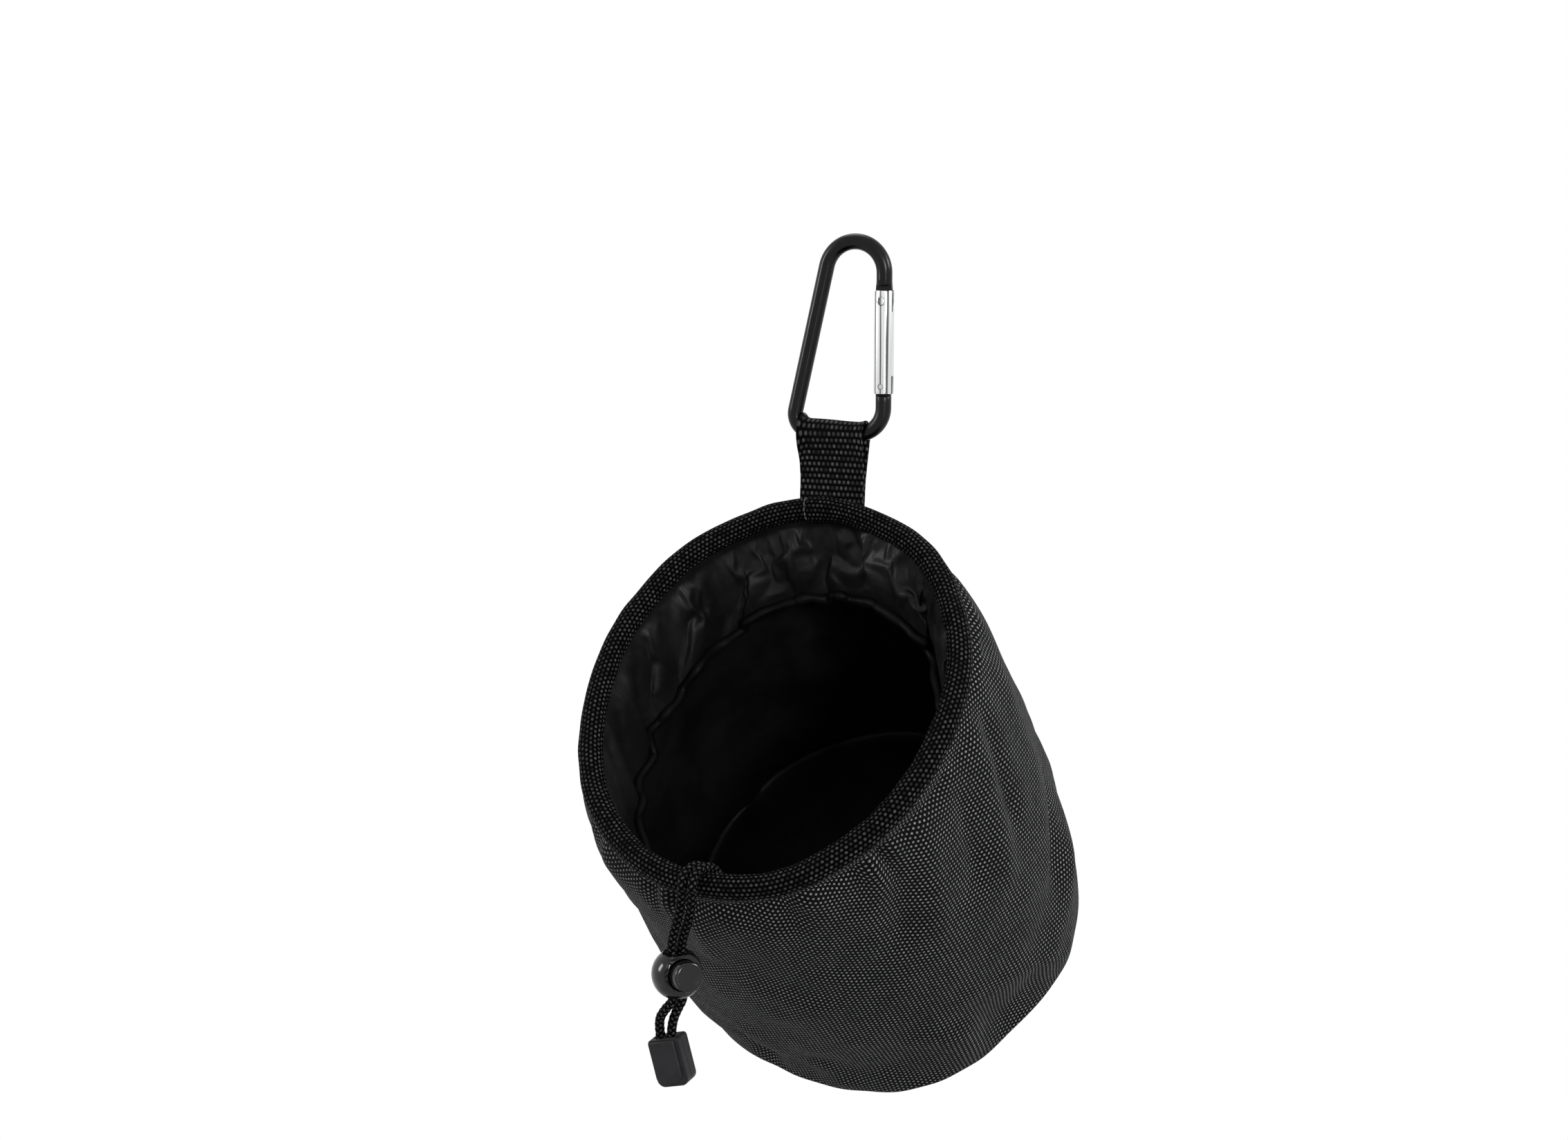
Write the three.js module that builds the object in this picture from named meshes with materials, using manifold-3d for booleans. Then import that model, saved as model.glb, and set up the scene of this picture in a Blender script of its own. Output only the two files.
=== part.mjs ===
import * as THREE from 'three';
import { mergeVertices } from 'three/addons/utils/BufferGeometryUtils.js';
import Module from 'manifold-3d';

// Peg bag hung on a clothes line by a carabiner. Millimetres, +Z up, mouth towards -Y.
// The origin is the seat of the line, under the arch of the carabiner.

const clearance = 0.3;

// Carabiner: bent rod, gate on the +X side.
const carabinerLength = 68;
const rodDiameter = 5.2;
const archRadius = 10.2;
const spineLean = 13;
const heelRadius = 6;
const noseBendRadius = 7.4;
const gateTop = -13.1;
const noseLength = 13.4;
const gateDiameter = 6.6;
const gateChamfer = 0.4;
const tangThickness = 1.8;
const rivetDiameter = 2;
const rivetDrop = 3.5;
const rivetHeadDiameter = 2.8;
const rivetHeadThickness = 0.45;
const hingeSlotDepth = 7;
const noseSlotDepth = 6;
const noseGap = 0.6;
const latchPinDiameter = 1.6;
const latchPinRise = 2.5;
const pinClearance = 0.15;
const gateBoreDiameter = 3.2;
const gateBoreDepth = 16;
const plungerLength = 3.6;
const gateSpringWire = 0.45;
const gateSpringTurns = 6;

// Webbing strap.
const webbingWidth = 24;
const webbingThickness = 1.4;
const strapDrop = 31.4;
const strapNeckDrop = 14;
const sewnLength = 23;
const strapShift = -1.7;

// Bag, in its own frame: origin at the rim centre, +Z out of the mouth, +Y to the strap.
const bagTilt = 45.4;
const mouthLength = 145.4;
const mouthWidth = 125;
const bagDepth = 144;
const baseDiameter = 146;
const bagBelly = 1.5;
const baseEdge = 3;
const shellThickness = 1.2;
const liningThickness = 0.6;
const stiffenerThickness = 0.65;
const rimDiameter = 8;
const bindingThickness = 1.2;
const hoopDiameter = 2.6;
const flexDrop = 12;
const edgeTuck = 1.6;
const ringSteps = 48;
// Rows of the wall between the lip and the base, as shares of the depth.
const wallShares = [0.09, 0.17, 0.28, 0.41, 0.57, 0.75, 0.89];
// Swellings and dents of the slack wall: turn from the strap and spread in degrees,
// drop from the rim and spread in millimetres, height in millimetres, positive outwards.
const wallSwells = [
  { turn: 62, across: 38, drop: 15, along: 26, height: 4 },
  { turn: 80, across: 30, drop: 124, along: 24, height: 1.6 },
  { turn: 122, across: 14, drop: 128, along: 14, height: -3.4 },
  { turn: 205, across: 22, drop: 122, along: 20, height: -3.4 },
  { turn: 215, across: 26, drop: 34, along: 22, height: 2.4 },
  { turn: 260, across: 24, drop: 114, along: 26, height: 1.8 },
  { turn: 300, across: 40, drop: 40, along: 26, height: 2.2 },
  { turn: 330, across: 20, drop: 112, along: 18, height: -1.6 },
];
const seamFade = 14;
const sewnHalfTurn = 22;

// Drawstring collar and drawcord.
const cordDiameter = 2.8;
const collarThickness = 0.6;
const collarDrop = 30;
const collarLean = 0.8;
const hemHeight = 6;

// Cord lock and end clip.
const lockDiameter = 15.2;
const cordShift = -3.9;
const lockDrop = 25.5;
const lockShift = -3.3;
const lockTurn = 50;
const lockFace = 4.5;
const buttonDiameter = 9;
const buttonReach = 4.8;
const buttonTravel = 1.3;
const buttonBar = 1.2;
const lockSpringDiameter = 4;
const lockSpringWire = 0.45;
const lockSpringTurns = 2;
const lockSpringPocket = 1.6;
const clipDrop = 52.6;
const clipShift = -5.2;
const clipWidth = 10.4;
const clipHeight = 14.5;
const clipThickness = 6.4;
const clipTilt = -15;
const clipWall = 1.3;
const lidThickness = 0.5;

const rad = THREE.MathUtils.degToRad;
const wasm = await Module();
wasm.setup();

function solid(geometry) {
  const bare = geometry.clone();
  bare.deleteAttribute('normal');
  bare.deleteAttribute('uv');
  const merged = mergeVertices(bare, 1e-4);
  return new wasm.Manifold(new wasm.Mesh({
    numProp: 3,
    vertProperties: new Float32Array(merged.attributes.position.array),
    triVerts: new Uint32Array(merged.index.array),
  }));
}

function toGeometry(manifold) {
  const mesh = manifold.getMesh();
  const geometry = new THREE.BufferGeometry();
  geometry.setAttribute('position', new THREE.BufferAttribute(new Float32Array(mesh.vertProperties), 3));
  geometry.setIndex(new THREE.BufferAttribute(new Uint32Array(mesh.triVerts), 1));
  return geometry;
}

function indexed(positions, index) {
  const geometry = new THREE.BufferGeometry();
  geometry.setAttribute('position', new THREE.Float32BufferAttribute(positions, 3));
  geometry.setIndex(index);
  const a = new THREE.Vector3();
  const b = new THREE.Vector3();
  const c = new THREE.Vector3();
  let volume = 0;
  for (let i = 0; i < index.length; i += 3) {
    a.fromArray(positions, index[i] * 3);
    b.fromArray(positions, index[i + 1] * 3);
    c.fromArray(positions, index[i + 2] * 3);
    volume += a.dot(b.cross(c));
  }
  if (volume < 0) {
    const flipped = index.slice();
    for (let i = 0; i < index.length; i += 3) {
      flipped[i + 1] = index[i + 2];
      flipped[i + 2] = index[i + 1];
    }
    geometry.setIndex(flipped);
  }
  return geometry;
}

// Points of a line moved sideways by a distance, to the right of the way it runs.
function offsetLine(points, distance) {
  return points.map((point, i) => {
    const before = points[Math.max(i - 1, 0)];
    const after = points[Math.min(i + 1, points.length - 1)];
    const along = new THREE.Vector2().subVectors(after, before).normalize();
    return new THREE.Vector2(point.x + along.y * distance, point.y - along.x * distance);
  });
}

// Closed outline of a strip: the line itself and the same line moved by the thickness.
function strip(points, thickness) {
  return [...points, ...offsetLine(points, thickness).reverse()];
}

function centredStrip(points, thickness) {
  return [...offsetLine(points, -thickness / 2), ...offsetLine(points, thickness / 2).reverse()];
}

function arcPoints(x, y, radius, from, to, count) {
  const points = [];
  for (let i = 0; i <= count; i += 1) {
    const angle = rad(from + (to - from) * i / count);
    points.push(new THREE.Vector2(x + radius * Math.cos(angle), y + radius * Math.sin(angle)));
  }
  return points;
}

// Closed outline led round the oval mouth: one outline for its side, one for its strap end.
// Both faces of a wall are split along the same diagonals, so that walls nest.
function ovalLoft(sideOutline, endOutline, relief = () => 0) {
  const positions = [];
  const index = [];
  const count = sideOutline.length;
  for (let i = 0; i < ringSteps; i += 1) {
    const angle = 2 * Math.PI * i / ringSteps;
    const s = Math.sin(angle);
    const c = Math.cos(angle);
    for (let j = 0; j < count; j += 1) {
      const side = sideOutline[j];
      const end = endOutline[j];
      const z = side.y * s * s + end.y * c * c;
      const out = relief(angle, z);
      positions.push((side.x + out) * s, (end.x + out) * c, z);
    }
  }
  for (let i = 0; i < ringSteps; i += 1) {
    const next = (i + 1) % ringSteps;
    for (let j = 0; j < count; j += 1) {
      const k = (j + 1) % count;
      const a = i * count + j;
      const b = i * count + k;
      const c = next * count + k;
      const d = next * count + j;
      if (j < count / 2) {
        index.push(a, b, c, a, c, d);
      } else {
        index.push(a, b, d, b, c, d);
      }
    }
  }
  return indexed(positions, index);
}

function polygonShape(points) {
  return new THREE.Shape(points);
}

function circleShape(radius, sides) {
  return polygonShape(arcPoints(0, 0, radius, 0, 360 - 360 / sides, sides - 1));
}

// Flat plate in the XZ plane, its thickness centred on Y.
function plate(shape, thickness) {
  const geometry = new THREE.ExtrudeGeometry(shape, { depth: thickness, bevelEnabled: false });
  geometry.rotateX(Math.PI / 2);
  geometry.translate(0, thickness / 2, 0);
  return geometry;
}

// Upright prism in the XY plane, its height centred on Z.
function prism(shape, height) {
  const geometry = new THREE.ExtrudeGeometry(shape, { depth: height, bevelEnabled: false });
  geometry.translate(0, 0, -height / 2);
  return geometry;
}

function roundedShape(halfX, halfY, radius) {
  return polygonShape([
    ...arcPoints(halfX - radius, halfY - radius, radius, 0, 90, 4),
    ...arcPoints(radius - halfX, halfY - radius, radius, 90, 180, 4),
    ...arcPoints(radius - halfX, radius - halfY, radius, 180, 270, 4),
    ...arcPoints(halfX - radius, radius - halfY, radius, 270, 360, 4),
  ]);
}

// Turned piece about Y: pairs of radius and height, from axis to axis.
function turned(profile, sides) {
  return new THREE.LatheGeometry(profile.map(([r, y]) => new THREE.Vector2(r, y)), sides);
}

// Curve that is stepped evenly between its points, so close points give fine steps.
class PointCurve extends THREE.CatmullRomCurve3 {
  getPointAt(u, target) {
    return this.getPoint(u, target);
  }

  getTangentAt(u, target) {
    return this.getTangent(u, target);
  }
}

function tube(points, diameter, sides, stepsPerSpan) {
  const curve = new PointCurve(points, false, 'centripetal');
  return new THREE.ExtrudeGeometry(circleShape(diameter / 2, sides), {
    steps: (points.length - 1) * stepsPerSpan,
    bevelEnabled: false,
    extrudePath: curve,
  });
}

// Coil spring along Z from zero to its length, one unbroken tube.
function coil(diameter, wire, turns, length) {
  const points = [];
  const radius = (diameter - wire) / 2;
  const steps = turns * 8;
  for (let i = 0; i <= steps; i += 1) {
    const angle = 2 * Math.PI * i / 8;
    const z = wire / 2 + (length - wire) * i / steps;
    points.push(new THREE.Vector3(radius * Math.cos(angle), radius * Math.sin(angle), z));
  }
  let gap = Infinity;
  for (let i = 0; i < points.length; i += 1) {
    for (let j = i + 5; j < points.length; j += 1) {
      gap = Math.min(gap, points[i].distanceTo(points[j]) - wire);
    }
  }
  console.log('least gap between curls', gap.toFixed(2));
  return tube(points, wire, 5, 1);
}

const black = new THREE.MeshStandardMaterial({ name: 'black_aluminium', color: 0x17181a, roughness: 0.3 });
const bright = new THREE.MeshStandardMaterial({ name: 'bright_aluminium', color: 0xc9ccd0, roughness: 0.25 });
const steel = new THREE.MeshStandardMaterial({ name: 'steel', color: 0x8f9498, roughness: 0.35 });
const webbing = new THREE.MeshStandardMaterial({ name: 'webbing', color: 0x1b1b1d, roughness: 0.9 });
const shellCloth = new THREE.MeshStandardMaterial({ name: 'shell_cloth', color: 0x232427, roughness: 0.9 });
const liningCloth = new THREE.MeshStandardMaterial({ name: 'lining_cloth', color: 0x151517, roughness: 0.6 });
const bindingTape = new THREE.MeshStandardMaterial({ name: 'binding_tape', color: 0x1d1e20, roughness: 0.85 });
const cordBraid = new THREE.MeshStandardMaterial({ name: 'cord_braid', color: 0x1f2022, roughness: 0.85 });
const glossPlastic = new THREE.MeshStandardMaterial({ name: 'lock_plastic', color: 0x141415, roughness: 0.2 });
const mattPlastic = new THREE.MeshStandardMaterial({ name: 'clip_plastic', color: 0x2a2b2d, roughness: 0.6 });
const board = new THREE.MeshStandardMaterial({ name: 'stiffener_plastic', color: 0x303030, roughness: 0.6 });

function add(parent, name, geometry, material) {
  const mesh = new THREE.Mesh(geometry, material);
  mesh.name = name;
  parent.add(mesh);
  return mesh;
}

const group = new THREE.Group();
group.name = 'peg_bag';

// Carabiner body: rod from the nose round the heel, bar, spine and arch to the hinge end.
const rodRadius = rodDiameter / 2;
const gateX = archRadius;
const gateRadius = gateDiameter / 2;
const barZ = rodDiameter * 1.5 - carabinerLength;
const gateBottom = barZ + noseLength;
const archZ = rodRadius - archRadius;
const lean = rad(spineLean);
const noseZ = gateBottom - noseGap;
const rivetZ = gateTop - rivetDrop;
const cornerRise = Math.hypot(gateRadius, rivetDrop) - rivetDrop;
const hingeEndZ = gateTop + cornerRise + clearance;
const latchZ = gateBottom + latchPinRise;
const slotWidth = tangThickness + 2 * clearance;

const rodLine = new THREE.Path();
const spineTop = new THREE.Vector2(-archRadius * Math.cos(lean), archZ + archRadius * Math.sin(lean));
const footX = spineTop.x - (spineTop.y - barZ) * Math.tan(lean);
const heelReach = heelRadius / Math.tan((Math.PI / 2 - lean) / 2);
rodLine.moveTo(gateX, noseZ);
rodLine.lineTo(gateX, barZ + noseBendRadius);
rodLine.absarc(gateX - noseBendRadius, barZ + noseBendRadius, noseBendRadius, 0, -Math.PI / 2, true);
rodLine.lineTo(footX + heelReach, barZ);
rodLine.absarc(footX + heelReach, barZ + heelRadius, heelRadius, -Math.PI / 2, -Math.PI - lean, true);
rodLine.lineTo(spineTop.x, spineTop.y);
rodLine.absarc(0, archZ, archRadius, Math.PI - lean, 0, true);
rodLine.lineTo(gateX, hingeEndZ);

class RodCurve extends THREE.Curve {
  getPoint(t, target = new THREE.Vector3()) {
    const point = rodLine.getPointAt(t);
    return target.set(point.x, 0, point.y);
  }
}

const rod = new THREE.ExtrudeGeometry(circleShape(rodRadius, 12), {
  steps: 64,
  bevelEnabled: false,
  extrudePath: new RodCurve(),
});

const tangHalf = rodRadius - 0.1;
const tangRadius = hingeSlotDepth - rivetDrop - 0.5;
const tang = polygonShape([
  new THREE.Vector2(-tangHalf, hingeEndZ + 2),
  ...arcPoints(0, rivetZ, tangRadius, 180, 360, 10),
  new THREE.Vector2(tangHalf, hingeEndZ + 2),
]);
tang.holes.push(new THREE.Path(arcPoints(0, rivetZ, rivetDiameter / 2 + pinClearance, 345, 0, 15)));

const notch = latchPinDiameter / 2 + 0.4;
const tongueTop = gateBottom + noseSlotDepth - 0.6;
const tongue = polygonShape([
  new THREE.Vector2(-tangHalf, noseZ - 2),
  new THREE.Vector2(tangHalf, noseZ - 2),
  new THREE.Vector2(tangHalf, tongueTop - 1),
  new THREE.Vector2(tangHalf - 1, tongueTop),
  new THREE.Vector2(1 - tangHalf, tongueTop),
  new THREE.Vector2(-tangHalf, tongueTop - 1),
  new THREE.Vector2(-tangHalf, latchZ + notch),
  ...arcPoints(0, latchZ, notch, 90, -90, 8),
  new THREE.Vector2(-tangHalf, latchZ - notch),
]);

const tangPlate = plate(tang, tangThickness).translate(gateX, 0, 0);
const tonguePlate = plate(tongue, tangThickness).translate(gateX, 0, 0);
const carabiner = new THREE.Group();
carabiner.name = 'carabiner';
group.add(carabiner);
const bodySolid = solid(rod).add(solid(tangPlate)).add(solid(tonguePlate));
add(carabiner, 'carabiner_body', toGeometry(bodySolid), black);

// Gate: slotted rod with a bore for its spring and plunger.
const gate = new THREE.Group();
gate.name = 'gate';
gate.position.set(gateX, 0, 0);
carabiner.add(gate);
const gateRod = turned([
  [0, gateBottom],
  [gateRadius - gateChamfer, gateBottom],
  [gateRadius, gateBottom + gateChamfer],
  [gateRadius, gateTop - gateChamfer],
  [gateRadius - gateChamfer, gateTop],
  [0, gateTop],
], 20).rotateX(Math.PI / 2);
const slotBox = (from, to) => new THREE.BoxGeometry(gateDiameter * 2, slotWidth, to - from)
  .translate(0, 0, (from + to) / 2);
const crossHole = (diameter, z) => new THREE.CylinderGeometry(diameter / 2, diameter / 2, gateDiameter * 2, 12)
  .translate(0, 0, z);
const slotFloor = gateTop - hingeSlotDepth;
const bore = new THREE.CylinderGeometry(gateBoreDiameter / 2, gateBoreDiameter / 2, gateBoreDepth + 1, 12)
  .rotateX(Math.PI / 2).translate(0, 0, slotFloor + 1 - (gateBoreDepth + 1) / 2);
const gateSolid = solid(gateRod)
  .subtract(solid(slotBox(slotFloor, gateTop + 1)))
  .subtract(solid(slotBox(gateBottom - 1, gateBottom + noseSlotDepth)))
  .subtract(solid(crossHole(rivetDiameter + 2 * pinClearance, rivetZ)))
  .subtract(solid(crossHole(latchPinDiameter + 2 * pinClearance, latchZ)))
  .subtract(solid(bore));
add(gate, 'carabiner_gate', toGeometry(gateSolid), bright);

const headInner = gateRadius + pinClearance;
const headOuter = headInner + rivetHeadThickness;
const rivet = turned([
  [0, -headOuter],
  [rivetHeadDiameter / 2, -headOuter],
  [rivetHeadDiameter / 2, -headInner],
  [rivetDiameter / 2, -headInner],
  [rivetDiameter / 2, headInner],
  [rivetHeadDiameter / 2, headInner],
  [rivetHeadDiameter / 2, headOuter],
  [0, headOuter],
], 12).translate(0, 0, rivetZ);
add(gate, 'gate_hinge_rivet', rivet, steel);
const latchPin = new THREE.CylinderGeometry(latchPinDiameter / 2, latchPinDiameter / 2, gateDiameter - 0.6, 10)
  .translate(0, 0, latchZ);
add(gate, 'gate_latch_pin', latchPin, steel);

const boreFloor = slotFloor - gateBoreDepth;
const plungerTop = rivetZ - tangRadius - clearance;
const plungerRadius = gateBoreDiameter / 2 - 0.25;
const plungerFoot = plungerTop - plungerLength;
const plunger = turned([
  [0, plungerFoot],
  [plungerRadius, plungerFoot],
  [plungerRadius, plungerTop - 0.7],
  [plungerRadius * 0.6, plungerTop - 0.15],
  [0, plungerTop],
], 12).rotateX(Math.PI / 2);
add(gate, 'gate_plunger', plunger, steel);
const gateSpringLength = plungerFoot - boreFloor - 0.4;
const gateSpring = coil(gateBoreDiameter - 0.5, gateSpringWire, gateSpringTurns, gateSpringLength)
  .translate(0, 0, boreFloor + 0.2);
add(gate, 'gate_spring', gateSpring, steel);

// Strap: folded over the bar, its two plies brought together at the neck.
const flexZ = barZ - strapDrop;
const barRight = gateX - noseBendRadius;
const barLeft = footX + heelReach;
const webbingOffset = (barLeft + barRight) / 2;
const plyOffset = (webbingThickness + clearance) / 2;
const neckZ = barZ - strapNeckDrop;
const neckReach = Math.hypot(plyOffset, strapNeckDrop);
const footRadius = plyOffset + webbingThickness / 2;
const footAngle = THREE.MathUtils.radToDeg(Math.asin(clearance / 2 / footRadius));

// Height of the rod's upper side over the bar's axis, where it bends up past the ends of the bar.
function barTop(x) {
  const bend = x > barRight ? noseBendRadius : heelRadius;
  const past = Math.max(x - barRight, barLeft - x, 0);
  return bend - Math.sqrt((bend - rodRadius) ** 2 - past ** 2);
}

// Section of the strap at a place along the bar; its foot is rounded about the flex line.
function strapSection(x) {
  const loopRadius = barTop(webbingOffset + x) + clearance + webbingThickness / 2;
  const neckAngle = THREE.MathUtils.radToDeg(Math.acos(loopRadius / neckReach)
    - Math.atan2(strapNeckDrop, plyOffset));
  const line = [
    new THREE.Vector2(plyOffset, flexZ),
    new THREE.Vector2(plyOffset, neckZ - 5),
    new THREE.Vector2(plyOffset, neckZ - 1.5),
    new THREE.Vector2(plyOffset + 0.35, neckZ + 1.5),
    ...arcPoints(0, barZ, loopRadius, neckAngle, 180 - neckAngle, 12),
    new THREE.Vector2(-plyOffset - 0.35, neckZ + 1.5),
    new THREE.Vector2(-plyOffset, neckZ - 1.5),
    new THREE.Vector2(-plyOffset, neckZ - 5),
    new THREE.Vector2(-plyOffset, flexZ),
  ];
  const outline = [
    ...offsetLine(line, -webbingThickness / 2),
    ...arcPoints(0, flexZ, footRadius, -90 - footAngle, -170, 5),
    ...offsetLine(line, webbingThickness / 2).reverse(),
    ...arcPoints(0, flexZ, footRadius, -10, -90 + footAngle, 5),
  ];
  return outline.map((p) => new THREE.Vector3(x, -p.x, p.y));
}

// Sections joined one after the other, the first and last one closed.
function sectionLoft(sections) {
  const count = sections[0].length;
  const positions = sections.flat().flatMap((p) => [p.x, p.y, p.z]);
  const index = [];
  for (let i = 0; i + 1 < sections.length; i += 1) {
    for (let j = 0; j < count; j += 1) {
      const k = (j + 1) % count;
      index.push(i * count + j, i * count + k, (i + 1) * count + k);
      index.push(i * count + j, (i + 1) * count + k, (i + 1) * count + j);
    }
  }
  const last = (sections.length - 1) * count;
  const closing = (section) => THREE.ShapeUtils.triangulateShape(
    section.map((p) => new THREE.Vector2(p.y, p.z)),
    [],
  );
  const turn = THREE.ShapeUtils.isClockWise(sections[0].map((p) => new THREE.Vector2(p.y, p.z)));
  for (const [a, b, c] of closing(sections[0])) {
    index.push(...(turn ? [a, b, c] : [a, c, b]));
  }
  for (const [a, b, c] of closing(sections[sections.length - 1])) {
    index.push(...(turn ? [last + a, last + c, last + b] : [last + a, last + b, last + c]));
  }
  return indexed(positions, index);
}

const strap = new THREE.Group();
strap.name = 'strap';
strap.position.x = webbingOffset;
group.add(strap);
const webbingHalf = webbingWidth / 2;
const barHalf = Math.min((barRight - barLeft) / 2, webbingHalf * 0.9);
const overhang = webbingHalf - barHalf;
const strapStations = [barHalf, barHalf + overhang * 0.4, barHalf + overhang * 0.75, webbingHalf];
const strapSections = [...strapStations.map((x) => -x).reverse(), ...strapStations].map(strapSection);
add(strap, 'hanger_webbing', sectionLoft(strapSections), webbing);

// Bag frame.
const tilt = rad(bagTilt);
const mouthHalf = mouthLength / 2;
const rimRadius = rimDiameter / 2;
const rimSide = mouthWidth / 2 - rimRadius;
const rimEnd = mouthHalf - rimRadius;
const baseRadius = baseDiameter / 2;
const bag = new THREE.Group();
bag.name = 'bag';
bag.rotation.x = tilt;
bag.position.set(
  webbingOffset - strapShift,
  -mouthHalf * Math.cos(tilt) - flexDrop * Math.sin(tilt),
  flexZ - mouthHalf * Math.sin(tilt) + flexDrop * Math.cos(tilt),
);
group.add(bag);
bag.updateMatrixWorld(true);

// Cloth edges under the binding, from outside in: shell, lining, collar.
const stack = shellThickness + liningThickness + collarThickness + 2 * clearance;
const shellEdge = stack / 2;
const liningEdge = shellEdge - shellThickness - clearance;
const collarEdge = liningEdge - liningThickness - clearance;
const lipZ = -(rimRadius + 1.75);

// Outer radius of the shell at a height: oval at the mouth, round at the base.
function shellRadius(mouthRadius, z) {
  const t = THREE.MathUtils.clamp((lipZ - z) / (bagDepth - baseEdge + lipZ), 0, 1);
  const ease = 1 - (1 - t) ** 2;
  return mouthRadius + (baseRadius - mouthRadius) * ease + bagBelly * Math.sin(Math.PI * t);
}

const wallHeights = [-edgeTuck, lipZ, ...wallShares.map((share) => -share * bagDepth)];
const wallFoot = baseEdge - bagDepth;

// How far the slack wall stands off its plain form; it is held at the lip, the base and the strap.
function wallRelief(angle, z) {
  const turn = THREE.MathUtils.radToDeg(angle);
  const apart = (from) => THREE.MathUtils.euclideanModulo(turn - from + 180, 360) - 180;
  let out = 0;
  for (const swell of wallSwells) {
    const across = apart(swell.turn) / swell.across;
    const along = (z + swell.drop) / swell.along;
    out += swell.height * Math.exp(-(across ** 2) - along ** 2);
  }
  const free = THREE.MathUtils.smoothstep(lipZ - z, 0, seamFade)
    * THREE.MathUtils.smoothstep(z - wallFoot, 0, seamFade);
  const sewn = Math.exp(-((apart(0) / sewnHalfTurn) ** 4));
  const beside = THREE.MathUtils.smoothstep(-z, flexDrop + sewnLength, flexDrop + sewnLength + seamFade);
  return out * free * (1 - sewn * (1 - beside));
}

function shellLine(mouthRadius) {
  const wall = [...wallHeights, wallFoot].map((z) => new THREE.Vector2(shellRadius(mouthRadius, z), z));
  const edge = arcPoints(baseRadius - baseEdge, wallFoot, baseEdge, -30, -90, 2);
  return [...wall, ...edge];
}

const side = rimSide + shellEdge;
const end = rimEnd + shellEdge;
const shellSide = strip(shellLine(side), shellThickness);
const shellEnd = strip(shellLine(end), shellThickness);
add(bag, 'outer_shell', ovalLoft(shellSide, shellEnd, wallRelief), shellCloth);

function liningLine(mouthRadius) {
  const foot = wallFoot + 0.4;
  const wall = [...wallHeights, foot].map((z) => new THREE.Vector2(shellRadius(mouthRadius, z), z));
  return offsetLine(wall, shellThickness + clearance);
}

const liningSide = strip(liningLine(side), liningThickness);
const liningEnd = strip(liningLine(end), liningThickness);
add(bag, 'lining_wall', ovalLoft(liningSide, liningEnd, wallRelief), liningCloth);

function disc(radius, bottom, thickness) {
  const bevel = Math.min(thickness / 4, 0.25);
  return turned([
    [0, bottom],
    [radius - bevel, bottom],
    [radius, bottom + bevel],
    [radius, bottom + thickness - bevel],
    [radius - bevel, bottom + thickness],
    [0, bottom + thickness],
  ], ringSteps).rotateX(Math.PI / 2);
}

const stiffenerZ = -bagDepth + shellThickness + clearance;
const liningBaseZ = stiffenerZ + stiffenerThickness + clearance;
const liningInner = baseRadius - shellThickness - liningThickness - clearance;
add(bag, 'base_panel', disc(baseRadius - baseEdge - clearance, -bagDepth, shellThickness), shellCloth);
add(bag, 'base_stiffener', disc(baseRadius - baseEdge, stiffenerZ, stiffenerThickness), board);
add(bag, 'lining_base', disc(liningInner - clearance, liningBaseZ, liningThickness), liningCloth);

// Rim: tape folded over the cloth edges, a round hoop inside it.
const lipInner = rimRadius - bindingThickness;
const lipAngle = 3 + THREE.MathUtils.radToDeg(Math.asin((stack / 2 + clearance) / lipInner));
function bindingOutline(axis) {
  const line = arcPoints(axis, 0, rimRadius - bindingThickness / 2, -90 + lipAngle, 270 - lipAngle, 14);
  return centredStrip(line, bindingThickness);
}
add(bag, 'rim_binding', ovalLoft(bindingOutline(rimSide), bindingOutline(rimEnd)), bindingTape);
const hoopZ = rimRadius - bindingThickness - clearance - hoopDiameter / 2;
const hoopOutline = (axis) => arcPoints(axis, hoopZ, hoopDiameter / 2, 0, 315, 7);
add(bag, 'rim_hoop', ovalLoft(hoopOutline(rimSide), hoopOutline(rimEnd)), board);

// Collar: hangs inside the mouth, its hem turned inwards round the drawcord.
const hemRadius = (cordDiameter + collarThickness) / 2 + clearance;
const collarAxis = collarEdge - collarThickness / 2;
const hemAxis = collarAxis - collarLean - hemRadius;
function collarOutline(axis) {
  const line = [
    new THREE.Vector2(axis + collarAxis, -edgeTuck),
    new THREE.Vector2(axis + collarAxis, lipZ),
    new THREE.Vector2(axis + collarAxis - collarLean * 0.5, (lipZ - collarDrop) / 2),
    ...arcPoints(axis + hemAxis, -collarDrop, hemRadius, 0, -180, 8),
    new THREE.Vector2(axis + hemAxis - hemRadius, hemHeight - collarDrop),
  ];
  return centredStrip(line, collarThickness);
}
add(bag, 'drawstring_collar', ovalLoft(collarOutline(rimSide), collarOutline(rimEnd)), liningCloth);

// Drawcord: one length in the hem, both ends led up inside the collar and over the front of the rim.
const cordRadius = cordDiameter / 2;
const legHalf = cordRadius + clearance / 2 + 0.05;
const wrapRadius = rimRadius + clearance + cordRadius;
const hemSide = rimSide + hemAxis;
const hemEnd = rimEnd + hemAxis;
const hemPoint = (x, z) => new THREE.Vector3(x, -hemEnd * Math.sqrt(1 - (x / hemSide) ** 2), z);
const riseFrom = -rimEnd + wrapRadius;
const rise = [
  hemPoint(13, -collarDrop),
  hemPoint(8.5, 0.2 - collarDrop),
  hemPoint(5.2, 1.3 - collarDrop),
  hemPoint(2.9, 3.6 - collarDrop),
  hemPoint(1.8, 6.8 - collarDrop),
  new THREE.Vector3(legHalf, -hemEnd + 0.2, 10.5 - collarDrop),
  new THREE.Vector3(legHalf, (riseFrom - hemEnd) / 2, -collarDrop * 0.36),
  new THREE.Vector3(legHalf, riseFrom - 0.1, -collarDrop * 0.12),
];
const straight = rise.length;
const wrapEnd = 180 - bagTilt;
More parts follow.
